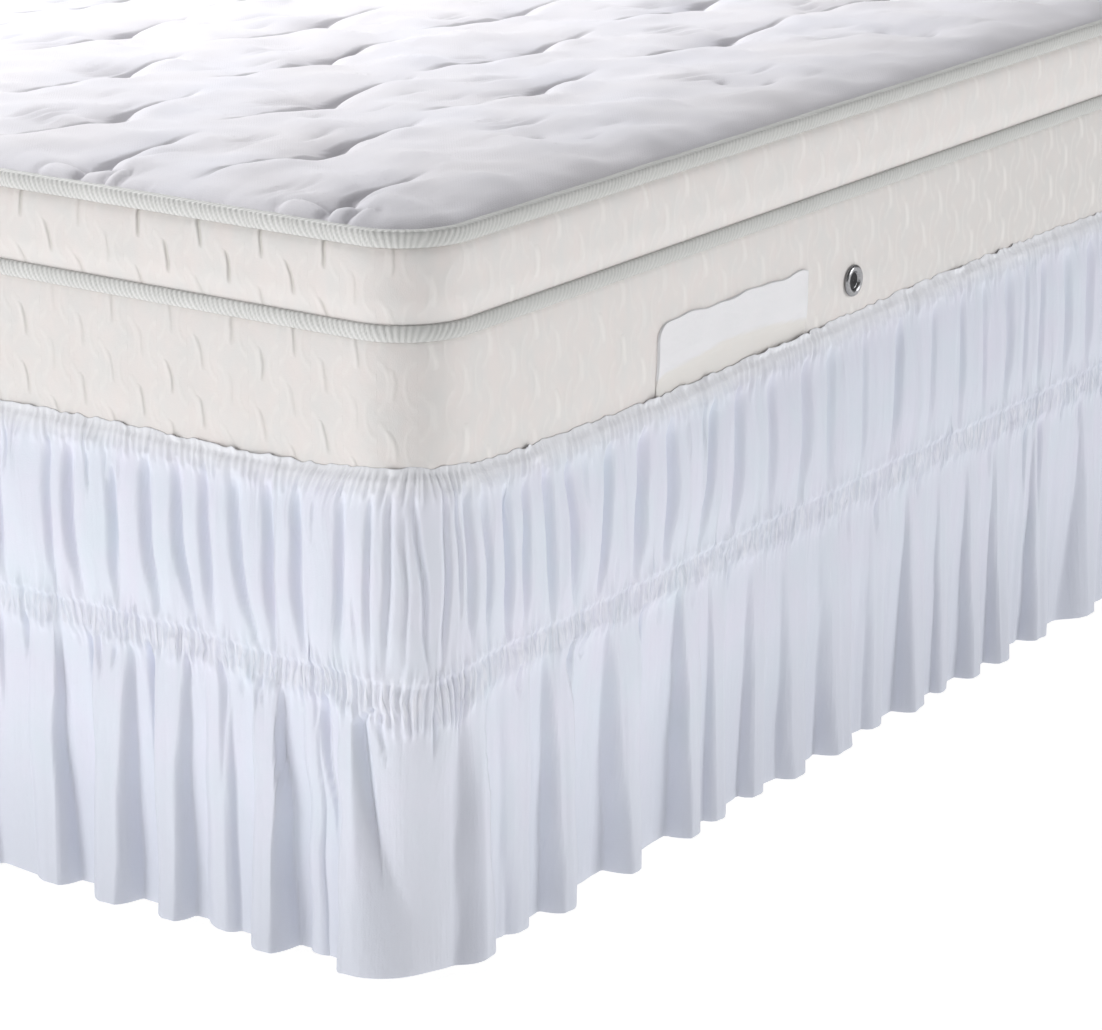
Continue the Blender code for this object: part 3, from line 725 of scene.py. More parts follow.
def row_moved(height, row, ring):
    """How far the drags, the streaks and the bands' own pull move a row out."""
    out = row.hang * (ring.drag_tall * (0.4 + 0.6 * math.cos(height * 31)) + ring.drag_low)
    out += ring.drag_high * row.puff * math.cos(height * 40)
    out += (ring.drag_fine + ring.streak * (0.35 + 0.65 * ring.near_side)) * max(row.hang, row.puff)
    if height < BAND_MIDDLE:
        return out - row.below
    return out - (row.above if height < UPPER_MIDDLE else 0.9 * row.heading)


def held_at_heading(out, height, place, ring):
    """The row's distance out with the heading's top drawn in on to the mattress."""
    rest = heading_rest(place)
    closed = float(eased((height - 0.400) / 0.006))
    out = out - (out - rest + 0.75) * closed * 0.96
    out += 2.6 * np.maximum(0, ring.stand_off - 0.35) * closed
    return np.maximum(out, rest - 0.25 - 0.6 * closed)


def painted_fold_shade(low, high, height, row, ring):
    """Painted shade on a row: steep folds, far folds and the facet past the corner; less on the near
    side.
    """
    fold = eased(np.abs(np.gradient(low, ring.along)) / 0.75) * float(eased((0.224 - height) / 0.03))
    groove = eased(np.abs(np.gradient(high, ring.along)) / 1.3) * row.puff
    return ((fold + 0.5 * groove) * (1 - 0.5 * ring.near_side) + 0.9 * ring.far
            + 2.2 * ring.facet * row.hang)


def skirt_row(height, pleats, ring):
    """The points of one row of the skirt's outer face, and the painted fold shade there."""
    row = row_shares(height)
    place, moved = row_places(height, row, ring)
    low, low_roll = lower_tier(moved, height, ring.folds, ring.darts)
    high = upper_tier(moved, height, ring.grooves)
    out = low * (1 - row.upper) + high * row.upper + row_moved(height, row, ring) + pleats
    if height > 0.300:
        out = held_at_heading(out, height, place, ring)
    x, y = side_points((place + low_roll * (1 - row.upper)) * MM, out * MM)
    z = height + ring.edge * float(eased((height - 0.398) / 0.008))
    z = z + ring.hem * float(eased((0.030 - height) / 0.022))
    z = z + lifted(height, ring.hem_height, ring.band_height, ring.heading_height)
    return stacked(x, y, z), painted_fold_shade(low, high, height, row, ring)


def skirt_grid():
    """Points of the outer face, rows by columns, each column's place on the flat cloth, layers."""
    ring = skirt_ring()
    rows, steep = zip(*(skirt_row(height, pleats, ring) for height, pleats in zip(HEIGHTS, ring.pleats)))
    points = np.array(rows)
    measured = points[MEASURED_ROW]
    steps = np.linalg.norm(np.roll(measured, -1, axis=0) - measured, axis=-1)
    level = HEIGHTS[:, None]
    in_band = (level - BAND_MIDDLE + 0.003 * ring.corner) / (0.014 + 0.005 * ring.corner)
    gathered = np.exp(-in_band ** 4) + 0.3 * np.exp(-((level - 0.398) / 0.0135) ** 4)
    corner = np.broadcast_to(ring.corner, gathered.shape)
    # For the material: the steep layer carries painted fold shade and the corner layer painted light.
    layers = {"steep": np.array(steep), "gathered": gathered, "corner": corner}
    return points, np.concatenate([[0], np.cumsum(steps)]), layers


def with_turned_edges(points):
    """The outer face with its hem turned up inside and its heading turned over."""
    normals = grid_normals(points)
    inside_hem = [points[k] - normals[k] * HEM_INSIDE for k in HEM_TURNED]
    hem_edge = points[0] - normals[0] * HEM_INSIDE / 2 - np.array([0, 0, 0.0007])
    heading_edge = points[-1] - normals[-1] * 0.0006 + np.array([0, 0, 0.00042])
    inside_heading = [points[k] - normals[k] * HEADING_INSIDE for k in HEADING_TURNED]
    return np.array(inside_hem + [hem_edge] + list(points) + [heading_edge] + inside_heading)


def bed_skirt(material):
    """The skirt as joined lengths of cloth."""
    points, cloth_along, layers = skirt_grid()
    grid = with_turned_edges(points)
    normals = grid_normals(grid)
    columns = grid.shape[1]
    turned = np.concatenate([HEM_TURNED, [0], np.arange(len(HEIGHTS)), [-1], HEADING_TURNED])
    per_piece = columns // SKIRT_PIECES
    made = []
    for number in range(SKIRT_PIECES):
        take = np.arange(number * per_piece, (number + 1) * per_piece + 1)
        wrapped = take % columns
        lengthwise = cloth_along[take] - cloth_along[-1] * (number >= SKIRT_PIECES // 2)
        uv = stacked(lengthwise[None, :], HEIGHTS[turned][:, None])
        piece = make_grid(f"skirt_cloth_{number + 1}", grid[:, wrapped], material, uv,
                          normals=normals[:, wrapped].reshape(-1, 3))
        for name, values in layers.items():
            add_layer(piece, name, values[turned][:, wrapped])
        made.append(piece)
    return made


# ---- the mattress ----

def smooth_ring(name, section, material, relief):
    """A ring of cloth round the mattress from (height, inset) pairs, swelling out by its relief."""
    ring = ring_along(BORDER_COLUMNS)
    along = ring[:-1]
    rows = [stacked(*side_points(along, relief(along, height) - inset), height)
            for height, inset in section]
    uv = stacked(ring[None, :], np.array([height for height, _ in section])[:, None])
    faces = [tuple(face) for face in grid_faces(len(rows), BORDER_COLUMNS, True)]
    first_of_last = (len(rows) - 1) * BORDER_COLUMNS
    faces.append(tuple(range(BORDER_COLUMNS))[::-1])
    faces.append(tuple(range(first_of_last, first_of_last + BORDER_COLUMNS)))
    corners = grid_faces(len(rows), BORDER_COLUMNS + 1, False).ravel()
    corner_uv = np.concatenate([uv.reshape(-1, 2)[corners], uv[0, BORDER_COLUMNS - 1::-1],
                                uv[-1, :BORDER_COLUMNS]])
    return make_mesh(name, np.concatenate(rows), faces, material, corner_uv)


def border_relief(along, height, low, high, bulge):
    """How the quilted border swells between its seams."""
    t = np.clip((height - low) / (high - low), 0, 1)
    swell = bulge * eased(3.0 * t) * (1 - t ** 8)
    ripple = 0.0005 * np.sin(along * 2 * math.pi / 0.060) * np.sin(math.pi * t)
    return swell + ripple * (height > 0.42)


def low_border_relief(along, height):
    """How the border of the lower block swells."""
    return border_relief(along, height, BORDER_START, BORDER_SHOULDER, BORDER_SWELL)


def mattress_body(material):
    """The border of the lower block, closed below and above."""
    top = BORDER_SHOULDER
    section = [(MATTRESS_BOTTOM, 0.014), (MATTRESS_BOTTOM + 0.002, 0.007),
               (MATTRESS_BOTTOM + 0.006, 0.003), (MATTRESS_BOTTOM + 0.014, 0.0)]
    section += [(height, 0.0) for height in np.arange(0.396, top - 0.006, 0.006)]
    section += [(top - 0.004, 0.0002), (top - 0.0015, 0.0007), (top, 0.0020),
                (top + 0.0004, SEAM_DEPTH)]
    return smooth_ring("mattress_border_low", section, material, low_border_relief)


def pillow_top(material):
    """The border of the pillow top, closed below and above."""
    low = MIDDLE_SEAM + TAPE_HEIGHT / 2
    high = TOP_SEAM - TAPE_HEIGHT / 2
    section = [(low - 0.0004, SEAM_DEPTH), (low, 0.0018), (low + 0.0015, 0.0006),
               (low + 0.004, 0.0002)]
    section += [(height, 0.0) for height in np.arange(low + 0.008, high - 0.006, 0.005)]
    section += [(high - 0.004, 0.0004), (high - 0.0015, 0.0012), (high, 0.0035),
                (high + 0.0004, SEAM_DEPTH)]
    return smooth_ring("mattress_border_high", section, material,
                       lambda along, height: border_relief(along, height, low, high, PILLOW_SWELL))


def edge_tape(name, seam, material):
    """A binding tape overcast with slanting thread, as one ring."""
    ring = ring_along(STITCHES * COLUMNS_PER_STITCH)
    along = ring[:-1]
    lean = (0.45 - near_side(along)) * 1.2
    chance = np.random.default_rng(46)
    shift = ring_noise(along / MM, 11, chance, 0.30)
    strong = 0.70 + ring_noise(along / MM, 40, chance, 0.30)
    rows = []
    amount = []
    for number, v in enumerate(TAPE_ROWS):
        is_hidden = number in (0, len(TAPE_ROWS) - 1)
        thread = np.abs(np.cos(math.pi * (along / RING * STITCHES + shift + lean * v))) ** 1.3
        pad = TAPE_THICK * math.sqrt(max(0.0, 1 - v * v * 0.96))
        out = pad + THREAD_THICK * strong * thread * (1 - 0.5 * v * v)
        x, y = side_points(along, np.full_like(along, -0.008) if is_hidden else out)
        rows.append(stacked(x, y, seam + TAPE_HEIGHT / 2 * v))
        amount.append(np.zeros_like(along) if is_hidden else thread * (0.6 + 0.4 * strong))
    points = np.array(rows)
    tape = make_grid(name, points, material, stacked(ring[None, :], points[:, :1, 2]), closed=True)
    add_layer(tape, "thread", np.array(amount))
    return tape


# ---- the tufted top ----

def tufts():
    """Each tuft: x, y, depth, reach of its crease towards -Y and +Y."""
    chance = np.random.default_rng(47)
    rows = []
    for row in range(TUFT_ROWS):
        for x in TUFT_COLUMNS[row % 2]:
            y = TUFT_ROW_START + row * TUFT_ROW_STEP
            rows.append((x + chance.uniform(-0.006, 0.006), y + chance.uniform(-0.005, 0.005),
                         0.0185 + chance.uniform(-0.0020, 0.0015),
                         chance.uniform(0.118, 0.150) if row else 0.022,
                         chance.uniform(0.095, 0.135)))
    return np.array(rows)


def crease_away(a, b):
    """How far across a place is from the S-shaped crease of a tuft."""
    return a - np.where(b > 0, 0.04 * b, 0.42 * b + 1.2 * b * b) + 0.012 * np.tanh(b / 0.02)


def crease_arm(b, reach_low, reach_high):
    """1 at the tuft, falling to 0 at the ends of its crease."""
    return np.clip(1 - np.abs(b) / np.where(b > 0, reach_high, reach_low), 0, 1)


def tuft_dip(a, b, deep, reach_low, reach_high):
    """Depth at places a across and b along from a tuft: a bowl with an S-shaped crease."""
    arm = crease_arm(b, reach_low, reach_high)
    off = crease_away(a, b)
    bowl = 0.46 * np.exp(-np.sqrt((a / 0.030) ** 2 + (b / 0.036) ** 2 + 0.02))
    crease = 0.62 * arm ** 0.65 * np.exp(-np.abs(off) / np.where(off < 0, 0.015, 0.0050))
    cushion = 0.13 * arm ** 0.5 * bell((off - 0.024) / 0.014)
    return deep * (bowl + crease - cushion)


def crease_line(a, b, deep, reach_low, reach_high):
    """1 in the bottom of a tuft's crease and up its gentle side, 0 away from it."""
    arm = crease_arm(b, reach_low, reach_high)
    off = crease_away(a, b)
    wide = (0.7 + 0.55 * eased(-b / 0.03)) * deep
    wide *= 0.62 * arm ** 0.65 + 0.30 * bell(b / 0.030)
    soft = np.where(b < 0, 0.0026, 0.0042)
    line = np.minimum(1, 4 * arm) * eased((off + wide + soft) / soft) * eased((0.002 - off) / 0.002)
    bowl = 0.45 * bell(off / np.where(off < 0, 0.020, 0.003)) * bell(b / 0.028)
    return np.maximum(0.80 * line, bowl)


def hole_distances(a, b):
    """How far places are from each of the two holes of a shallow tuft."""
    return [np.hypot(a - side * HOLE_X, b - side * HOLE_Y) for side in (-1, 1)]


def shallow_dip(a, b):
    """Depth at places from a shallow tuft: two small holes in a slight hollow."""
    holes = sum(0.0060 * np.exp(-away / 0.0045) for away in hole_distances(a, b))
    return holes + 0.0050 * bell(a / 0.035) * bell(b / 0.045)


def puffs():
    """Each puff of the foot edge: x, half width and height."""
    chance = np.random.default_rng(50)
    return [(middle + shift + chance.uniform(-0.004, 0.004), half * chance.uniform(0.80, 1.15),
             chance.uniform(0.0026, 0.0044))
            for middle in tufts()[:len(TUFT_COLUMNS[0]), 0] for shift, half in PUFFS]


def puff_reach(x, y, middle, half):
    """0 at the middle of a puff of the foot edge, 1 at its rim."""
    return np.hypot((x - middle) / half, (y - PUFF_Y) / PUFF_HALF_LENGTH)


def edge_puffs(x, y):
    """How far the puffs stand up along the foot edge, with the creases round them."""
    total = np.zeros_like(x)
    for middle, half, high in puffs():
        reach = puff_reach(x, y, middle, half)
        total += high * np.maximum(0, 1 - reach ** 2) ** 0.70 - 0.6 * high * bell((reach - 1.05) / 0.22)
    return total


def wrinkles():
    """The small wrinkles between the tufts: x, y, half length, depth and lean of each."""
    chance = np.random.default_rng(48)
    lines = []
    for tuft_x, tuft_y in tufts()[:, :2]:
        x = tuft_x + chance.uniform(-0.085, -0.030)
        y = tuft_y + chance.uniform(-0.070, 0.020)
        lean = chance.uniform(0.0, 0.5)
        for _ in range(chance.integers(2, 5)):
            lines.append((x, y, chance.uniform(0.018, 0.045), chance.uniform(0.0018, 0.0042), lean))
            x += chance.uniform(0.007, 0.013)
            y += chance.uniform(-0.014, 0.010)
        for _ in range(4):
            lines.append((tuft_x + chance.uniform(-0.060, 0.060),
                          tuft_y + chance.uniform(-0.080, 0.080), chance.uniform(0.012, 0.030),
                          chance.uniform(0.0010, 0.0026), chance.uniform(-0.05, 0.50)))
    return lines


def wrinkled(x, y, reach):
    """For each wrinkle: its depth, the places near it and how deep in it they are, 0 to 1."""
    for line_x, line_y, long, depth, lean in wrinkles():
        b = y - line_y
        a = x - line_x - lean * b - 1.5 * b * b
        near = (np.abs(a) < 4 * reach) & (np.abs(b) < long)
        fall = np.where(a[near] < 0, reach, 0.0025)
        yield depth, near, (1 - (b[near] / long) ** 2) * np.exp(-np.abs(a[near]) / fall)


def uneven(x, y):
    """The wadding's slow rise and fall."""
    chance = np.random.default_rng(49)
    total = np.zeros_like(x)
    for _ in range(16):
        turn = chance.uniform(0, math.pi)
        pitch = chance.uniform(0.045, 0.120)
        start = chance.uniform(0, 2 * math.pi)
        across = x * math.cos(turn) + y * math.sin(turn)
        total += 0.00045 * np.sin(2 * math.pi * across / pitch + start)
    return total


def tufted(x, y):
    """Each tuft: places across and along from it, its sizes and whether it is a shallow one."""
    for tuft_x, tuft_y, *sizes in tufts():
        yield x - tuft_x, y - tuft_y, sizes, tuft_x > SHALLOW_X and tuft_y > SHALLOW_Y


def crease_shade_places(x, y):
    """1 where painted shade darkens the panel: ties' creases and holes, puff rims, wrinkles; 0
    elsewhere.
    """
    crease_shade = np.zeros_like(x)
    for a, b, sizes, is_shallow in tufted(x, y):
        if is_shallow:
            crease_shade += sum(bell(away / 0.004) for away in hole_distances(a, b))
        else:
            crease_shade += crease_line(a, b, *sizes)
    for middle, half, high in puffs():
        reach = puff_reach(x, y, middle, half)
        crease_shade += 130 * high * bell((reach - 1.03) / 0.17) * (y > -0.944)
    for depth, near, share in wrinkled(x, y, 0.0036):
        crease_shade[near] += 0.13 * depth / 0.001 * share
    return np.minimum(crease_shade, 1.0)


def panel_height(x, y, inset):
    """Height of the tufted top at places x, y that are an inset from the edge."""
    rise = PANEL_CROWN - TOP_SEAM - PANEL_EDGE
    height = TOP_SEAM + PANEL_EDGE + rise * (1 - np.exp(-np.maximum(inset - 0.004, 0) / 0.014))
    dip = 0.0010 - uneven(x, y)
    for a, b, sizes, is_shallow in tufted(x, y):
        near = (np.abs(a) < 0.16) & (np.abs(b) < 0.17)
        if is_shallow:
            dip[near] += shallow_dip(a[near], b[near])
        else:
            dip[near] += tuft_dip(a[near], b[near], *sizes)
    for depth, near, share in wrinkled(x, y, 0.0048):
        dip[near] += depth * share
    height += edge_puffs(x, y) * np.clip((inset - 0.004) / 0.006, 0, 1)
    return height - dip * np.clip((inset - 0.006) / 0.02, 0.15, 1)


def inset_of(x, y):
    """Distance in from the mattress side for places on the top."""
    dx = np.abs(x) - STRAIGHT_END / 2
    dy = np.abs(y) - STRAIGHT_SIDE / 2
    outside = np.hypot(np.maximum(dx, 0), np.maximum(dy, 0))
    return CORNER_RADIUS - outside - np.minimum(np.maximum(dx, dy), 0)


def rim_columns(right, back):
    """The columns of the rings round the panel's grid: grid place (i, j) and the way out of each."""
    sides = (([(right, j) for j in range(back + 1)], 0.0),
             ([(i, back) for i in range(right, -1, -1)], math.pi / 2),
             ([(0, j) for j in range(back, -1, -1)], math.pi),
             ([(i, 0) for i in range(right + 1)], 1.5 * math.pi))
    columns = []
    for places, way in sides:
        columns += [(*place, way) for place in places]
        columns += [(*places[-1], way + math.pi / 2 * k / PANEL_CORNER_COLUMNS)
                    for k in range(1, PANEL_CORNER_COLUMNS)]
    i, j, way = np.array(columns).T
    return i.astype(int), j.astype(int), way


def top_panel(material):
    """The tufted top as one open sheet: a grid inside, and rings round it out to the edge."""
    right = int(round(STRAIGHT_END / PANEL_STEP_X))
    back = int(round(STRAIGHT_SIDE / PANEL_STEP_Y))
    xs = np.linspace(-STRAIGHT_END / 2, STRAIGHT_END / 2, right + 1)
    ys = np.linspace(-STRAIGHT_SIDE / 2, STRAIGHT_SIDE / 2, back + 1)
    x, y = np.meshgrid(xs, ys)
    verts = [stacked(x, y, panel_height(x, y, inset_of(x, y))).reshape(-1, 3)]
    faces = grid_faces(back + 1, right + 1, False).tolist()
    i, j, way = rim_columns(right, back)
    inner = j * (right + 1) + i
    total = len(verts[0])
    for inset in PANEL_INSETS:
        x = xs[i] + (CORNER_RADIUS - inset) * np.cos(way)
        y = ys[j] + (CORNER_RADIUS - inset) * np.sin(way)
        verts.append(stacked(x, y, panel_height(x, y, np.full_like(x, inset))))
        outer = total + np.arange(len(i))
        quads = np.stack([inner, outer, np.roll(outer, -1), np.roll(inner, -1)], axis=-1)
        faces += [list(dict.fromkeys(quad)) for quad in quads.tolist()]
        inner = outer
        total += len(i)
    verts = np.concatenate(verts)
    made = make_mesh("tufted_top", verts, faces, material)
    add_layer(made, "crease_shade", crease_shade_places(verts[:, 0], verts[:, 1]))
    return made


# ---- vents and patch ----

def vent(number, centre, side, materials):
    """A breather vent: a bright turned rim round a dished dark gauze."""
    turn = np.arange(VENT_COLUMNS) * 2 * math.pi / VENT_COLUMNS
    radius, out = np.array(VENT_SECTION).T[..., None]
    y = side * radius * np.cos(turn)
    z = radius * np.sin(turn)
    points = stacked(centre[0] + side * (out + VENT_OUT), centre[1] + y, centre[2] + z)
    uv = stacked(y, z)
    uv = np.concatenate([uv, uv[:, :1]], axis=1)
    made = make_grid(f"breather_{number}", points, materials[0], uv, closed=True)
    made.data.materials.append(materials[1])
    for polygon in made.data.polygons:
        polygon.material_index = int(polygon.index >= GAUZE_ROW * VENT_COLUMNS)
    return made


def vents(materials):
    """The four vents, each standing for its CAD node."""
    for number in range(1, 5):
        low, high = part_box(f"vent_{number}")
        centre = (Vector(low) + Vector(high)) / 2
        side = 1 if centre.x > 0 else -1
        piece = vent(number, (side * BED_WIDTH / 2, centre.y, centre.z), side, materials)
        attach(piece, "root")
        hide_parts(f"vent_{number}")


def patch_top(s):
    """Height of the patch's top edge at a distance from its near end: rounded, slightly wavy."""
    long = PATCH_END - PATCH_START
    near = np.minimum(s, 0.5 * (long - s) + 0.5 * PATCH_CORNER)
    inset = np.clip(PATCH_CORNER - near, 0, PATCH_CORNER)
    corner = PATCH_CORNER - np.sqrt(PATCH_CORNER ** 2 - inset ** 2)
    wave = 0.0011 * np.sin(s * 2 * math.pi / PATCH_WAVE - 1.3)
    wave = wave + 0.0006 * np.sin(s * 2 * math.pi / 0.041)
    return PATCH_TOP - 0.002 - corner + wave * np.clip(s / 0.02, 0, 1)


def with_rim(grid):
    """A grid with its end columns and its top row twice, for the edge that turns back."""
    wide = np.concatenate([grid[:, :1], grid, grid[:, -1:]], axis=1)
    return np.concatenate([wide, wide[-1:]], axis=0)


def label_patch(material):
    """The bare patch: one layer of cloth, its lower part a shade creamier, edges a little proud."""
    long = PATCH_END - PATCH_START
    ends = np.array([0.0, 0.0012, 0.0030, 0.0055, 0.0085, 0.0120])
    s = np.concatenate([ends, np.linspace(0.016, long - 0.016, 70), long - ends[::-1]])
    share = np.concatenate([np.linspace(0, 0.94, 30), [0.965, 0.985, 1.0]])[:, None]
    top = patch_top(s)
    bottom = PATCH_BOTTOM + 0.002
    z = bottom + (top - bottom) * share
    above = z - np.interp(s, *zip(*PATCH_LINE))
    edge = np.minimum(np.minimum(s, long - s), top - z)
    lift = 0.0006 * np.exp(-edge / 0.0025) * (0.5 + 0.5 * np.sin(s * 2 * math.pi / PATCH_WAVE + 0.6))
    ridge = 0.0009 * bell(above / 0.0035) + 0.0006 * eased(above / 0.004)
    out = 0.0009 + low_border_relief(PATCH_START + s, z) + ridge + lift * (above > 0.004)
    rim = with_rim(stacked(BED_WIDTH / 2 + out, -BED_LENGTH / 2 + PATCH_START + s, z))
    rim[:, 0, 0] = rim[:, -1, 0] = rim[-1, :, 0] = PATCH_BACK
    made = make_grid("sewn_patch", rim, material, with_rim(stacked(s, z)))
    add_layer(made, "white", eased(with_rim(above) / 0.003))
    return made


# ---- materials ----

class Value:
    """A number or colour made by shader nodes; sums and products of numbers make further nodes."""

    def __init__(self, nodes, socket):
        self.nodes = nodes
        self.socket = socket

    def worked(self, operation, *others):
        """The value after an operation, with others where it takes them."""
        return self.nodes.math(operation, self, *others)

    __add__ = partialmethod(worked, "ADD")
    __sub__ = partialmethod(worked, "SUBTRACT")
    __mul__ = partialmethod(worked, "MULTIPLY")
    __truediv__ = partialmethod(worked, "DIVIDE")
    __mod__ = partialmethod(worked, "MODULO")
    __abs__ = partialmethod(worked, "ABSOLUTE")

    def __rsub__(self, other):
        return self.nodes.math("SUBTRACT", other, self)

    def clipped(self):
        """The value kept from 0 to 1."""
        return self.worked("MAXIMUM", 0.0).worked("MINIMUM", 1.0)


class Nodes:
    """Short calls for the shader nodes that a material is made of."""

    def __init__(self, name, roughness, sheen=0.0, specular=0.3, metallic=0.0):
        self.material = bpy.data.materials.new(name)
        self.material.use_nodes = True
        self.tree = self.material.node_tree
        self.shader = self.tree.nodes["Principled BSDF"]
        self.shader.inputs["Roughness"].default_value = roughness
        self.shader.inputs["Sheen Weight"].default_value = sheen
        self.shader.inputs["Specular IOR Level"].default_value = specular
        self.shader.inputs["Metallic"].default_value = metallic

    def put(self, socket, value):
        """A made value linked to a socket, or a plain number or colour set on it."""
        if isinstance(value, Value):
            self.tree.links.new(value.socket, socket)
        else:
            socket.default_value = (*value, 1.0) if isinstance(value, tuple) else value

    def made(self, kind, inputs, output=0, **settings):
        """What comes out of a new node with these settings and inputs."""
        node = self.tree.nodes.new("ShaderNode" + kind)
        for name, setting in settings.items():
            setattr(node, name, setting)
        for name, value in inputs.items():
            self.put(node.inputs[name], value)
        return Value(self, node.outputs[output])

    def math(self, operation, *values):
        return self.made("Math", dict(enumerate(values)), operation=operation)

    def parts(self, vector):
        split = self.tree.nodes.new("ShaderNodeSeparateXYZ")
        self.put(split.inputs[0], vector)
        return [Value(self, part) for part in split.outputs]

    def place(self):
        """Along and up on the cloth, in metres, from the UV map."""
        return self.parts(self.made("UVMap", {}, uv_map="cloth"))[:2]

    def position(self):
        """Place in the object's own frame."""
        return self.parts(self.made("TexCoord", {}, "Object"))

    def attribute(self, name):
        """A number that the mesh has on every vertex."""
        return self.made("Attribute", {}, "Fac", attribute_name=name)

    def joined(self, *values):
        return self.made("CombineXYZ", dict(enumerate(values)))

    def noise(self, places, by, detail=2.0, rough=0.5):
        """Uneven values round 0.5 at two or three coordinates, so many to the metre of each."""
        vector = self.joined(*(place * count for place, count in zip(places, by)))
        inputs = {"Vector": vector, "Scale": 1.0, "Detail": detail, "Roughness": rough}
        return self.made("TexNoise", inputs, "Fac")

    def random(self, first, second):
        """An even random number for each pair of whole numbers."""
        vector = self.joined(first, second)
        return self.made("TexWhiteNoise", {"Vector": vector}, "Value", noise_dimensions="2D")

    def mix(self, share, first, second):
        """The first colour at share 0, the second at share 1."""
        inputs = {"Factor": share, "A": first, "B": second}
        return self.made("Mix", inputs, "Result", data_type="RGBA")

    def strokes(self, along, up, slant, by):
        """1 with thin lines of 0 that run up the cloth, leaning by the slant."""
        value = self.noise((up * slant + along, up), by, detail=1)
        return self.math("MINIMUM", abs(value - 0.5) * 8.0, 1.0)

    def wave(self, along, pitch):
        """-1 to 1 along a place in metres."""
        return self.math("SINE", along * (2 * math.pi / pitch))

    def ramp(self, value, start, end):
        """0 below the start, 1 above the end."""
        return ((value - start) / (end - start)).clipped()

    def bell(self, away, reach):
        """1 at 0, falling to 0 a few reaches away."""
        share = away / reach
        return self.math("EXPONENT", share * share * -1.0)

    def bump(self, height, distance):
        inputs = {"Strength": 1.0, "Distance": distance, "Height": height}
        self.put(self.shader.inputs["Normal"], self.made("Bump", inputs))

    def colour(self, value):
        self.put(self.shader.inputs["Base Color"], value)


def skirt_cloth_look():
    """Fine brushed weave: thread ripple, soft crumples, a faint cool and warm drift, painted shade and
    painted light.
    """
    n = Nodes("skirt_cloth_look", 0.82, sheen=0.12, specular=0.25)
    cloth = n.place()
    along, up = cloth
    weave = n.wave(along, 0.0011) * n.wave(up, 0.0011)
    fuzz = n.noise(cloth, (900, 900), detail=1)
    crumple = n.noise(cloth, (75, 20), detail=3, rough=0.55)
    puckers = n.noise(cloth, (230, 120))
    threads = n.noise(cloth, (240, 6), detail=1)
    crossed = n.math("MINIMUM", n.strokes(along, up, 0.12, (200, 24)),
                     n.strokes(along, up, -0.16, (150, 18)))
    gathered = n.attribute("gathered")
    proud = crossed * gathered
    heading = n.bell(up - 0.404, 0.014)
    height = weave * 0.035 + crumple + fuzz * 0.10 + puckers * 0.18 + proud * 0.36 + threads * 0.32
    n.bump(height, 0.0012)
    drift = n.noise(cloth, (22, 14), detail=3) * 2.4 - 0.7
    # Painted shade: the cloth is darker towards the hem.
    lower = (up * -7.0 + 1.1).clipped()
    shade = n.mix(lower, n.mix(drift, (0.800, 0.800, 0.912), (0.762, 0.820, 0.905)),
                  (0.668, 0.694, 0.775))
    # Painted shade on steep fold flanks, on the far folds and on the facet past the corner.
    shade = n.mix(n.attribute("steep") * 0.27, shade, (0.500, 0.520, 0.600))
    # Painted shade in the thin lines between the shirring's strokes.
    shade = n.mix((1.0 - crossed) * gathered * 0.22, shade, (0.560, 0.585, 0.680))
    # Painted light on the raised shirring strokes, the heading and the corner; the fuzz adds random
    # lighter flecks.
    light = proud * 0.62 + fuzz * 0.10 + heading * 0.66 + n.attribute("corner") * 0.34
    shade = n.mix(light, shade, (0.86, 0.87, 0.94))
    # More painted light on the heading.
    n.colour(n.mix(heading * 0.6, shade, (0.96, 0.965, 0.99)))
    return n.material


def border_look():
    """Cream figured damask: staggered upright dashes sunk in, faint rounded leaves, painted shade and
    highlight.
    """
    n = Nodes("mattress_border_look", 0.62, sheen=0.10, specular=0.30)
    cloth = n.place()
    along, up = cloth
    x, y, z = n.position()
    side = n.ramp(x, 0.40, 0.49)
    high = n.ramp(z, 0.515, 0.53)
    column = n.math("FLOOR", along / DASH_COLUMN)
    across = (n.math("FRACT", along / DASH_COLUMN) - 0.5) * DASH_COLUMN
    level = up / DASH_ROW + column % 2.0 * 0.5
    row = n.math("FLOOR", level)
    rise = (n.math("FRACT", level) - 0.5) * DASH_ROW
    lean = rise * (n.random(column, row) * -0.22 - 0.02) + rise * rise * -9.0
    line = across + n.noise(cloth, (60, 40)) * 0.004 - 0.002 - lean
    ends = (1.0 - n.math("POWER", abs(rise) / 0.0135, 4.0)).clipped()
    strong = ends * (n.random(row, column) * 0.8 + 0.30)
    seen = (side * -0.85 + 1.0) * (high * 0.45 + 0.40)
    dash = n.bell(line, 0.0017) * strong * seen
    rim = n.bell(line + 0.0032, side * 0.0012 + 0.0018) * strong
    leaf_x = (abs(across) - DASH_COLUMN / 2) / 0.0095
    leaf_y = rise / 0.019
    leaf = n.math("SQRT", leaf_x * leaf_x + leaf_y * leaf_y)
    outline = n.bell(leaf - 0.95, 0.16)
    grain = n.noise(cloth, (1400, 700), detail=1)
    soft = n.noise(cloth, (45, 30), detail=3)
    n.bump(dash * -0.9 + rim * 0.45 + outline * 0.16 + grain * 0.10 + soft * 0.9, 0.0013)
    shade = n.mix(soft * 3.0 - 1.0, (0.800, 0.752, 0.732), (0.762, 0.744, 0.730))
    # Painted shade: the lower border's +X side grows darker away from the foot end.
    away = n.ramp(y, -0.55, 0.0) * side * (high * -0.40 + 0.40)
    shade = n.mix(away, shade, (0.60, 0.585, 0.57))
    shade = n.mix(outline * 0.30, shade, (0.83, 0.805, 0.78))
    # Painted highlight along the dashes' rims, stronger on the +X side.
    shade = n.mix(rim * (side * 0.50 + 0.15), shade, (0.88, 0.855, 0.83))
    # Painted shade in the dashes, weaker on the +X side and on the lower border.
    n.colour(n.mix(dash * 0.70, shade, (0.50, 0.48, 0.43)))
    return n.material


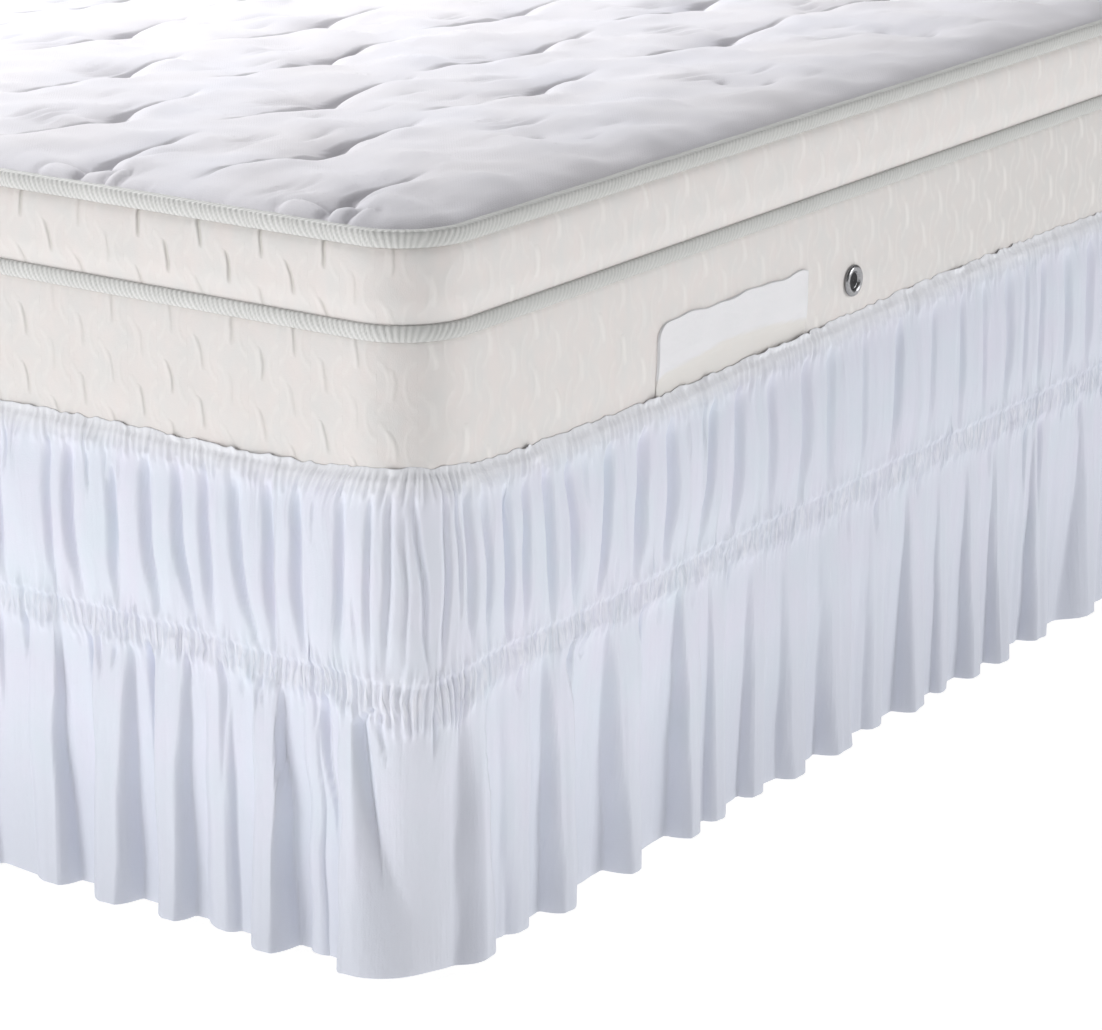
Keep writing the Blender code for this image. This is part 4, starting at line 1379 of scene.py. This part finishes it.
def panel_look():
    """White knitted panel: small ribs, faint quilted ripple, a lavender drift, painted shade in creases
    and at +X.
    """
    n = Nodes("mattress_panel_look", 0.78, sheen=0.15, specular=0.25)
    x, y, _ = n.position()
    ribs = n.wave(x, 0.0026) * n.wave(y, 0.0034)
    grain = n.noise((x, y), (800, 800), detail=1)
    ripple = n.noise((x, y), (34, 14))
    n.bump(ribs * 0.018 + ripple * 1.3 + grain * 0.14, 0.0016)
    drift = n.noise((x, y), (9, 6)) * 2.4 - 0.7
    shade = n.mix(drift, (0.805, 0.785, 0.820), (0.780, 0.778, 0.842))
    # Painted shade: darker towards the +X edge.
    shade = n.mix(n.ramp(x, 0.34, 0.46) * 0.58, shade, (0.56, 0.55, 0.58))
    # Painted shade in the ties' creases and holes, round the puffs and in the wrinkles.
    n.colour(n.mix(n.attribute("crease_shade") * 0.90, shade, (0.33, 0.32, 0.35)))
    return n.material


def tape_look():
    """Overcast binding: bright slanting strands over a grey-green tape, with painted shade on the +X
    side.
    """
    n = Nodes("edge_tape_look", 0.55, sheen=0.08, specular=0.35)
    cloth = n.place()
    side = n.ramp(n.position()[0], 0.44, 0.50)
    # Painted shade: the strands are fainter on the +X side.
    thread = n.attribute("thread") * (side * -0.45 + 1.0)
    fibre = n.noise(cloth, (1500, 500))
    patchy = n.noise(cloth, (18, 60)) - 0.5
    share = (fibre * 0.35 + thread * 1.15 - 0.30 + patchy * 0.5).clipped()
    # Painted shade: the strands are greyer on the +X side.
    strand = n.mix(side, (0.825, 0.820, 0.810), (0.72, 0.715, 0.70))
    n.colour(n.mix(share, (0.555, 0.560, 0.545), strand))
    n.bump(thread * 0.8 + fibre * 0.4, 0.0006)
    return n.material


def patch_look():
    """Bare white woven patch, its lower part the colour of the border."""
    n = Nodes("patch_cloth_look", 0.70, sheen=0.10, specular=0.30)
    cloth = n.place()
    along, up = cloth
    weave = n.wave(along, 0.0012) * n.wave(up, 0.0012)
    soft = n.noise(cloth, (40, 60), detail=3)
    grain = n.noise(cloth, (1100, 1100), detail=1)
    n.bump(weave * 0.05 + soft + grain * 0.10, 0.0010)
    white = n.mix(soft, (0.865, 0.850, 0.875), (0.830, 0.835, 0.855))
    cream = n.mix(soft, (0.800, 0.765, 0.735), (0.765, 0.752, 0.728))
    n.colour(n.mix(n.attribute("white"), cream, white))
    return n.material


def chrome_look():
    """Bright plated rim with faint turning lines."""
    n = Nodes("vent_rim_look", 0.22, specular=0.5, metallic=1.0)
    across, up = n.place()
    radius = n.math("SQRT", across * across + up * up)
    haze = n.noise((across, up), (600, 600))
    n.bump(n.wave(radius, 0.0005) * 0.3 + haze, 0.00004)
    n.colour(n.mix(haze, (0.22, 0.22, 0.23), (0.42, 0.42, 0.43)))
    return n.material


def gauze_look():
    """Dark wire gauze behind the vent's rim."""
    n = Nodes("vent_gauze_look", 0.45, specular=0.4)
    across, up = n.place()
    mesh = n.math("MAXIMUM", n.wave(across, 0.0011), n.wave(up, 0.0011))
    n.colour(n.mix(mesh.clipped() * 0.35, (0.006, 0.006, 0.007), (0.10, 0.10, 0.11)))
    n.bump(mesh, 0.0003)
    return n.material


def base_cloth_look():
    """Plain woven cover of the bed base, hidden behind the skirt."""
    n = Nodes("base_cloth_look", 0.85, sheen=0.10, specular=0.2)
    x, y, z = n.position()
    weave = n.wave(x + y, 0.003) * n.wave(z, 0.003)
    grain = n.noise((x, y, z), (500, 500, 500))
    n.bump(weave * 0.5 + grain, 0.0004)
    n.colour(n.mix(grain, (0.40, 0.39, 0.37), (0.55, 0.54, 0.51)))
    return n.material


def foot_wood_look():
    """Stained wood of the feet, with its grain upright."""
    n = Nodes("foot_wood_look", 0.45, specular=0.4)
    grain = n.noise(n.position(), (160, 160, 18), detail=4, rough=0.6)
    n.bump(grain, 0.0004)
    n.colour(n.mix(grain * 2.0 - 0.5, (0.16, 0.09, 0.05), (0.33, 0.20, 0.11)))
    return n.material


def dress_cad_nodes():
    """Materials for the CAD nodes that stay: the base and its feet."""
    wood = foot_wood_look()
    looks = {"bed_base": base_cloth_look(), **{f"foot_{number}": wood for number in range(1, 7)}}
    for node, look in looks.items():
        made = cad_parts[node]
        made.data.materials.clear()
        made.data.materials.append(look)


# ---- camera, floor and lights ----

def camera():
    """The camera beyond the corner at +X, -Y, looking slightly down at it."""
    data = bpy.data.cameras.new("camera")
    data.sensor_width = SENSOR
    data.lens = FOCAL_PIXELS / PICTURE_PIXELS * SENSOR
    made = linked("camera", data)
    x, y, z = (CAMERA_SCALE * part for part in CAMERA_STAND)
    made.location = (BED_WIDTH / 2 + x, -BED_LENGTH / 2 + y, z)
    forward = Vector((math.sin(CAMERA_YAW) * math.cos(CAMERA_PITCH),
                      math.cos(CAMERA_YAW) * math.cos(CAMERA_PITCH), -math.sin(CAMERA_PITCH)))
    made.rotation_euler = forward.to_track_quat("-Z", "Y").to_euler()
    bpy.context.scene.camera = made


def area_light(name, place, target, size, power):
    """A round soft lamp at a place, pointing at a target."""
    data = bpy.data.lights.new(name, "AREA")
    data.shape = "DISK"
    data.size = size
    data.energy = power
    made = linked(name, data)
    made.location = place
    direction = Vector(target) - Vector(place)
    made.rotation_euler = direction.to_track_quat("-Z", "Y").to_euler()


def stage():
    """The even surroundings, the lamps and the pale floor."""
    world = bpy.data.worlds.new("studio")
    world.use_nodes = True
    background = world.node_tree.nodes["Background"]
    background.inputs["Color"].default_value = (1.0, 1.0, 1.0, 1.0)
    background.inputs["Strength"].default_value = 0.16
    bpy.context.scene.world = world
    bpy.context.scene.view_settings.view_transform = "Standard"
    for lamp in LAMPS:
        area_light(*lamp)
    paint = Nodes("floor_paint", 0.6)
    paint.shader.inputs["Base Color"].default_value = (0.35, 0.35, 0.35, 1.0)
    paint.shader.inputs["Emission Color"].default_value = (1.0, 1.0, 1.0, 1.0)
    paint.shader.inputs["Emission Strength"].default_value = 0.86
    corners = [(x * FLOOR_REACH, y * FLOOR_REACH, 0) for x, y in ((-1, -1), (1, -1), (1, 1), (-1, 1))]
    ground = make_mesh("floor", corners, [(0, 1, 2, 3)], paint.material)


def main():
    """Every piece attached to the body it rides on, the CAD nodes it stands for hidden."""
    camera()
    stage()
    border = border_look()
    tape = tape_look()
    for piece in bed_skirt(skirt_cloth_look()):
        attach(piece, "root")
        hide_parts("bed_skirt")
    low = mattress_body(border)
    high = pillow_top(border)
    top = top_panel(panel_look())
    tape_low = edge_tape("edge_tape_low", MIDDLE_SEAM, tape)
    tape_high = edge_tape("edge_tape_high", TOP_SEAM, tape)
    for piece, node, slot in ((low, "mattress_body", "mattress_border"),
                              (high, "pillow_top", "mattress_border"),
                              (top, "top_panel", "mattress_panel"),
                              (tape_low, "tape_middle", "edge_tape"),
                              (tape_high, "tape_top", "edge_tape")):
        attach(piece, "root")
        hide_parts(node)
    patch = label_patch(patch_look())
    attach(patch, "root")
    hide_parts("label_patch")
    vents([chrome_look(), gauze_look()])
    dress_cad_nodes()


main()
